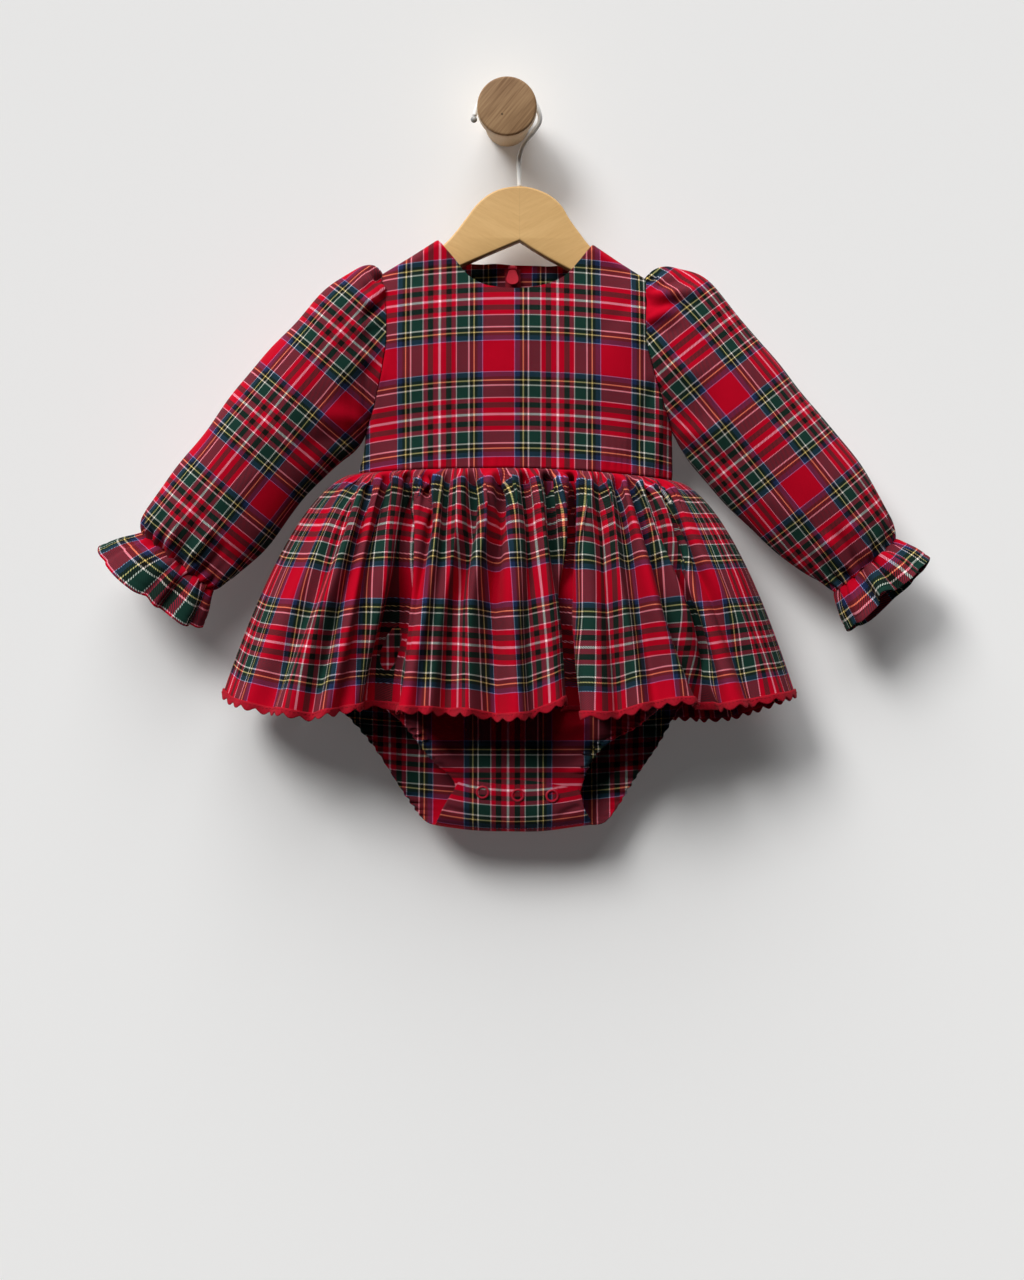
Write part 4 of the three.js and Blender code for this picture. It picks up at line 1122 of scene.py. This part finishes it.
def hangerMaterial():
    # Clear-lacquered pale beech: short fine flecks and soft bands along each arm, a mitre line where the arms meet
    material, tree, shader = newMaterial("Clear lacquered pale beech")
    moved, grain = woodSpot(tree, (0.0091, 0, 0), True, 28, (12, 60, 95))
    band = noise(tree, grain, 1.3, 3.0, Distortion=0.4)
    fleck = noise(tree, grain, 9.0, 4.0, Roughness=0.65)
    share = calc(tree, "MULTIPLY_ADD", band, 1.4, -0.35)
    share = calc(tree, "ADD", share, calc(tree, "MULTIPLY_ADD", fleck, 1.2, -0.6))
    share = addNode(tree, "ShaderNodeClamp", {0: share}).outputs[0]
    wood = blendColour(tree, share, linear("#DDB478"), linear("#CDA064"))
    line = calc(tree, "LESS_THAN", axesOf(tree, moved)[0], 0.0003)
    wood = blendColour(tree, calc(tree, "MULTIPLY", line, 0.1), wood, linear("#8A6238"))
    relief = bump(tree, 0.12, 0.0003, fleck)
    fillInputs(tree, shader, {"Base Color": wood, "Roughness": calc(tree, "MULTIPLY_ADD", fleck, 0.2, 0.38),
                             "Specular IOR Level": 0.35, "Normal": relief})
    return material


def pegMaterial():
    # Oiled oak: straight diagonal grain lines on the round face, paler turned side, a small dark pith
    material, tree, shader = newMaterial("Oiled oak peg")
    moved, grain = woodSpot(tree, (-0.0035, 0, -0.006), False, 50, (20, 20, 420))
    lines = noise(tree, grain, 1.6, 3.0, Distortion=0.3)
    wide = woodSpot(tree, (0, 0, 0), False, 50, (20, 20, 60))[1]
    cloud = noise(tree, wide, 1.2, 2.0)
    share = calc(tree, "MULTIPLY_ADD", lines, 2.2, -0.85)
    share = calc(tree, "ADD", share, calc(tree, "MULTIPLY_ADD", cloud, 1.2, -0.4))
    share = addNode(tree, "ShaderNodeClamp", {0: share}).outputs[0]
    wood = blendColour(tree, share, linear("#A6845F"), linear("#7A5839"))
    x, y, z = axesOf(tree, moved)
    back = calc(tree, "GREATER_THAN", y, -0.0565)
    wood = blendColour(tree, calc(tree, "MULTIPLY", back, 0.75), wood, linear("#E6CDA8"))
    squares = calc(tree, "ADD", calc(tree, "POWER", x, 2.0), calc(tree, "POWER", z, 2.0))
    ring = calc(tree, "SQRT", squares)
    pith = calc(tree, "MULTIPLY", calc(tree, "LESS_THAN", ring, 0.0009), calc(tree, "SUBTRACT", 1.0, back))
    wood = blendColour(tree, calc(tree, "MULTIPLY", pith, 0.7), wood, linear("#3A2818"))
    relief = bump(tree, 0.2, 0.0003, lines)
    fillInputs(tree, shader, {"Base Color": wood, "Roughness": calc(tree, "MULTIPLY_ADD", lines, 0.2, 0.5),
                             "Specular IOR Level": 0.3, "Normal": relief})
    return material


hangerSet = {"thick": 12.0, "bevel": 1.6, "steps": 6, "cornerAt": 18}
hangerOutline = [
    (9.1, -54), (-1, -55), (-9.2, -57.6), (-16.6, -62.2), (-22.9, -68.2), (-29.3, -76.6), (-38.4, -88.4),
    (-47, -97.4),
    (-60, -107), (-72, -113.4), (-80, -118), (-82.5, -120), (-81.5, -124.5), (-77, -127.5), (-70, -126.6),
    (-54, -120.8), (-35.1, -112.6), (-14, -103.4), (9.1, -93.6), (26, -104.2), (44.4, -114.1), (64, -123.6),
    (80, -130), (86.5, -130), (91, -127), (91.5, -122.5), (88.5, -119.4), (80, -114.4), (70, -107.2),
    (60.8, -98.2), (52.2, -87.2), (45.6, -78), (39, -67.4), (31.2, -60.6), (23, -56.7), (16, -54.7),
]


def curveMesh(name, curve, move):
    holder = bpy.data.objects.new(name, curve)
    mesh = bpy.data.meshes.new_from_object(holder)
    bpy.data.objects.remove(holder)
    for vert in mesh.vertices:
        vert.co = move(vert.co)
    bm = bmesh.new()
    bm.from_mesh(mesh)
    bmesh.ops.remove_doubles(bm, verts=bm.verts, dist=1e-6)
    bmesh.ops.recalc_face_normals(bm, faces=bm.faces)
    bm.to_mesh(mesh)
    bm.free()
    smoothFaces(mesh)
    return mesh


def addPiece(name, mesh, material, node, body="garment"):
    mesh.materials.clear()
    mesh.materials.append(material)
    piece = linkObject(name, mesh)
    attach(piece, body)
    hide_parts(node)
    return piece


def hangerMesh():
    curve = bpy.data.curves.new("board", "CURVE")
    curve.dimensions = "2D"
    curve.fill_mode = "BOTH"
    curve.extrude = (hangerSet["thick"] / 2 - hangerSet["bevel"]) / 1000
    curve.bevel_depth = hangerSet["bevel"] / 1000
    curve.bevel_resolution = 4
    curve.offset = -hangerSet["bevel"] / 1000
    spline = curve.splines.new("BEZIER")
    spline.bezier_points.add(len(hangerOutline) - 1)
    for i, (knot, (x, z)) in enumerate(zip(spline.bezier_points, hangerOutline)):
        knot.co = (x / 1000, z / 1000, 0)
        corner = i == hangerSet["cornerAt"]
        knot.handle_left_type = "VECTOR" if corner else "AUTO"
        knot.handle_right_type = "VECTOR" if corner else "AUTO"
    spline.use_cyclic_u = True
    spline.resolution_u = hangerSet["steps"]
    return curveMesh("board", curve, lambda p: Vector((p.x, midY / 1000 + p.z, p.y)))


hookSet = {"radius": 1.65, "bend": 24, "height": -5, "ball": 2.4}


def hookPoints():
    points = [(9.1, -53.3), (8.9, -45), (8.7, -36), (10, -28), (14.2, -19.8), (19.5, -13)]
    for step in range(11):
        turn = math.radians(17.2 * step)
        points.append((hookSet["bend"] * math.cos(turn), hookSet["height"] + hookSet["bend"] * math.sin(turn)))
    return points


def hookMesh():
    curve = bpy.data.curves.new("wire", "CURVE")
    curve.dimensions = "3D"
    curve.bevel_depth = hookSet["radius"] / 1000
    curve.bevel_resolution = 6
    curve.use_fill_caps = True
    points = hookPoints()
    spline = curve.splines.new("BEZIER")
    spline.bezier_points.add(len(points) - 1)
    for knot, (x, z) in zip(spline.bezier_points, points):
        knot.co = (x / 1000, midY / 1000, z / 1000)
        knot.handle_left_type = "AUTO"
        knot.handle_right_type = "AUTO"
    spline.resolution_u = 8
    return curveMesh("wire", curve, lambda p: p.copy())


def ballMesh():
    mesh = bpy.data.meshes.new("ball")
    bm = bmesh.new()
    bmesh.ops.create_uvsphere(bm, u_segments=32, v_segments=16, radius=hookSet["ball"] / 1000)
    turn = math.radians(172)
    x = hookSet["bend"] * math.cos(turn) - (hookSet["ball"] + seamGap) * math.sin(turn)
    z = hookSet["height"] + hookSet["bend"] * math.sin(turn) + (hookSet["ball"] + seamGap) * math.cos(turn)
    bmesh.ops.translate(bm, verts=bm.verts, vec=(x / 1000, midY / 1000, z / 1000))
    bm.to_mesh(mesh)
    bm.free()
    smoothFaces(mesh)
    return mesh


pegProfile = [
    (0, -58), (19.6, -58), (20.6, -57.8), (21.2, -57.2), (21.5, -56.2), (21.6, -54), (21.6, -47.4), (21.4, -46.2),
    (20.9, -45.2), (20.2, -44.5), (19.4, -44), (18, -43.7), (16.5, -43.6), (16.5, 0), (0, 0),
]


def pegMesh():
    mesh = bpy.data.meshes.new("peg")
    bm = bmesh.new()
    verts = [bm.verts.new((r / 1000, y / 1000, 0)) for r, y in pegProfile]
    edges = [bm.edges.new(pair) for pair in zip(verts, verts[1:])]
    bmesh.ops.spin(
        bm, geom=verts + edges, cent=(0, 0, 0), axis=(0, 1, 0), angle=2 * math.pi, steps=96, use_merge=True)
    bmesh.ops.remove_doubles(bm, verts=bm.verts, dist=1e-6)
    bmesh.ops.recalc_face_normals(bm, faces=bm.faces)
    bm.to_mesh(mesh)
    bm.free()
    smoothFaces(mesh)
    mesh.set_sharp_from_angle(angle=math.radians(50))
    return mesh


addPiece("hangerBoard", hangerMesh(), hangerMaterial(), "hanger")
addPiece("hookWire", hookMesh(), coatedMaterial("White coated wire", "#F2F2F0", 0.3, 0.01), "hook_wire")
addPiece("hookBall", ballMesh(), coatedMaterial("Grey end ball", "#9A9A98", 0.4), "hook_tip")
addPiece("wallPeg", pegMesh(), pegMaterial(), "wall_peg")
print("hanger made")

# Finishes of the CAD pieces that are left showing
snapRed = coatedMaterial("Red enamelled snap ring", "#B4102C", 0.35)
finishes = {
    "snap_left": snapRed,
    "snap_middle": snapRed,
    "snap_right": snapRed,
    "zip_slider": coatedMaterial("Red lacquered zip slider", "#C80028", 0.5),
    "zip_pull_tab": coatedMaterial("Red lacquered pull tab", "#D0002A", 0.55),
    "zip_tape": coatedMaterial("Red woven zip tape", "#A41A2C", 0.8),
}
for node, material in finishes.items():
    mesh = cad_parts[node].data
    mesh.materials.clear()
    mesh.materials.append(material)

# Wall, light and camera
lightSet = {"key": 2.2, "top": 2.75, "world": 0.03, "wallGlow": 0.075}
wallMesh = bpy.data.meshes.new("Wall")
bm = bmesh.new()
bmesh.ops.create_grid(bm, x_segments=1, y_segments=1, size=4)
for vert in bm.verts:
    vert.co = Vector((vert.co.x, 0.0005, vert.co.y))
bm.to_mesh(wallMesh)
bm.free()
# The wall paint also glows faintly (wallGlow): painted light that lifts the shade cast on the wall
wallPaintAndGlow, tree, shader = newMaterial("Matt pale grey wall paint with painted glow")
fillInputs(tree, shader, {"Base Color": linear("#EDEDED"), "Roughness": 0.95, "Specular IOR Level": 0.1,
                         "Emission Color": linear("#F4F2F0"), "Emission Strength": lightSet["wallGlow"]})
clear = addNode(tree, "ShaderNodeBsdfTransparent")
sideOf = addNode(tree, "ShaderNodeNewGeometry").outputs["Backfacing"]
mixed = addNode(tree, "ShaderNodeMixShader", {0: sideOf, 1: shader.outputs[0], 2: clear.outputs[0]})
tree.links.new(mixed.outputs[0], tree.nodes["Material Output"].inputs[0])
wallMesh.materials.append(wallPaintAndGlow)
linkObject("Wall", wallMesh)


def sunLight(name, way, energy, angle, colour):
    data = bpy.data.lights.new(name, "SUN")
    data.energy = energy
    data.angle = math.radians(angle)
    data.color = linear(colour)[:3]
    lamp = linkObject(name, data)
    lamp.rotation_mode = "QUATERNION"
    lamp.rotation_quaternion = Vector(way).to_track_quat("-Z", "Y")


sunLight("Key", (0.46, 0.64, -0.61), lightSet["key"], 24, "#FFFEFC")
sunLight("Top", (0.14, 0.43, -0.89), lightSet["top"], 60, "#FFFFFF")
world = bpy.data.worlds.new("Room")
world.use_nodes = True
world.node_tree.nodes["Background"].inputs[0].default_value = linear("#F4F6FA")
world.node_tree.nodes["Background"].inputs[1].default_value = lightSet["world"]
bpy.context.scene.world = world

cameraData = bpy.data.cameras.new("Camera")
cameraData.lens = 62.5
cameraData.sensor_width = 36
camera = linkObject("Camera", cameraData)
camera.location = (0.0036, -1.655, -0.384)
camera.rotation_euler = (math.radians(90), 0, 0)
bpy.context.scene.camera = camera
bpy.context.scene.view_settings.view_transform = "Standard"
bpy.context.scene.view_settings.look = "None"
print("stage made")
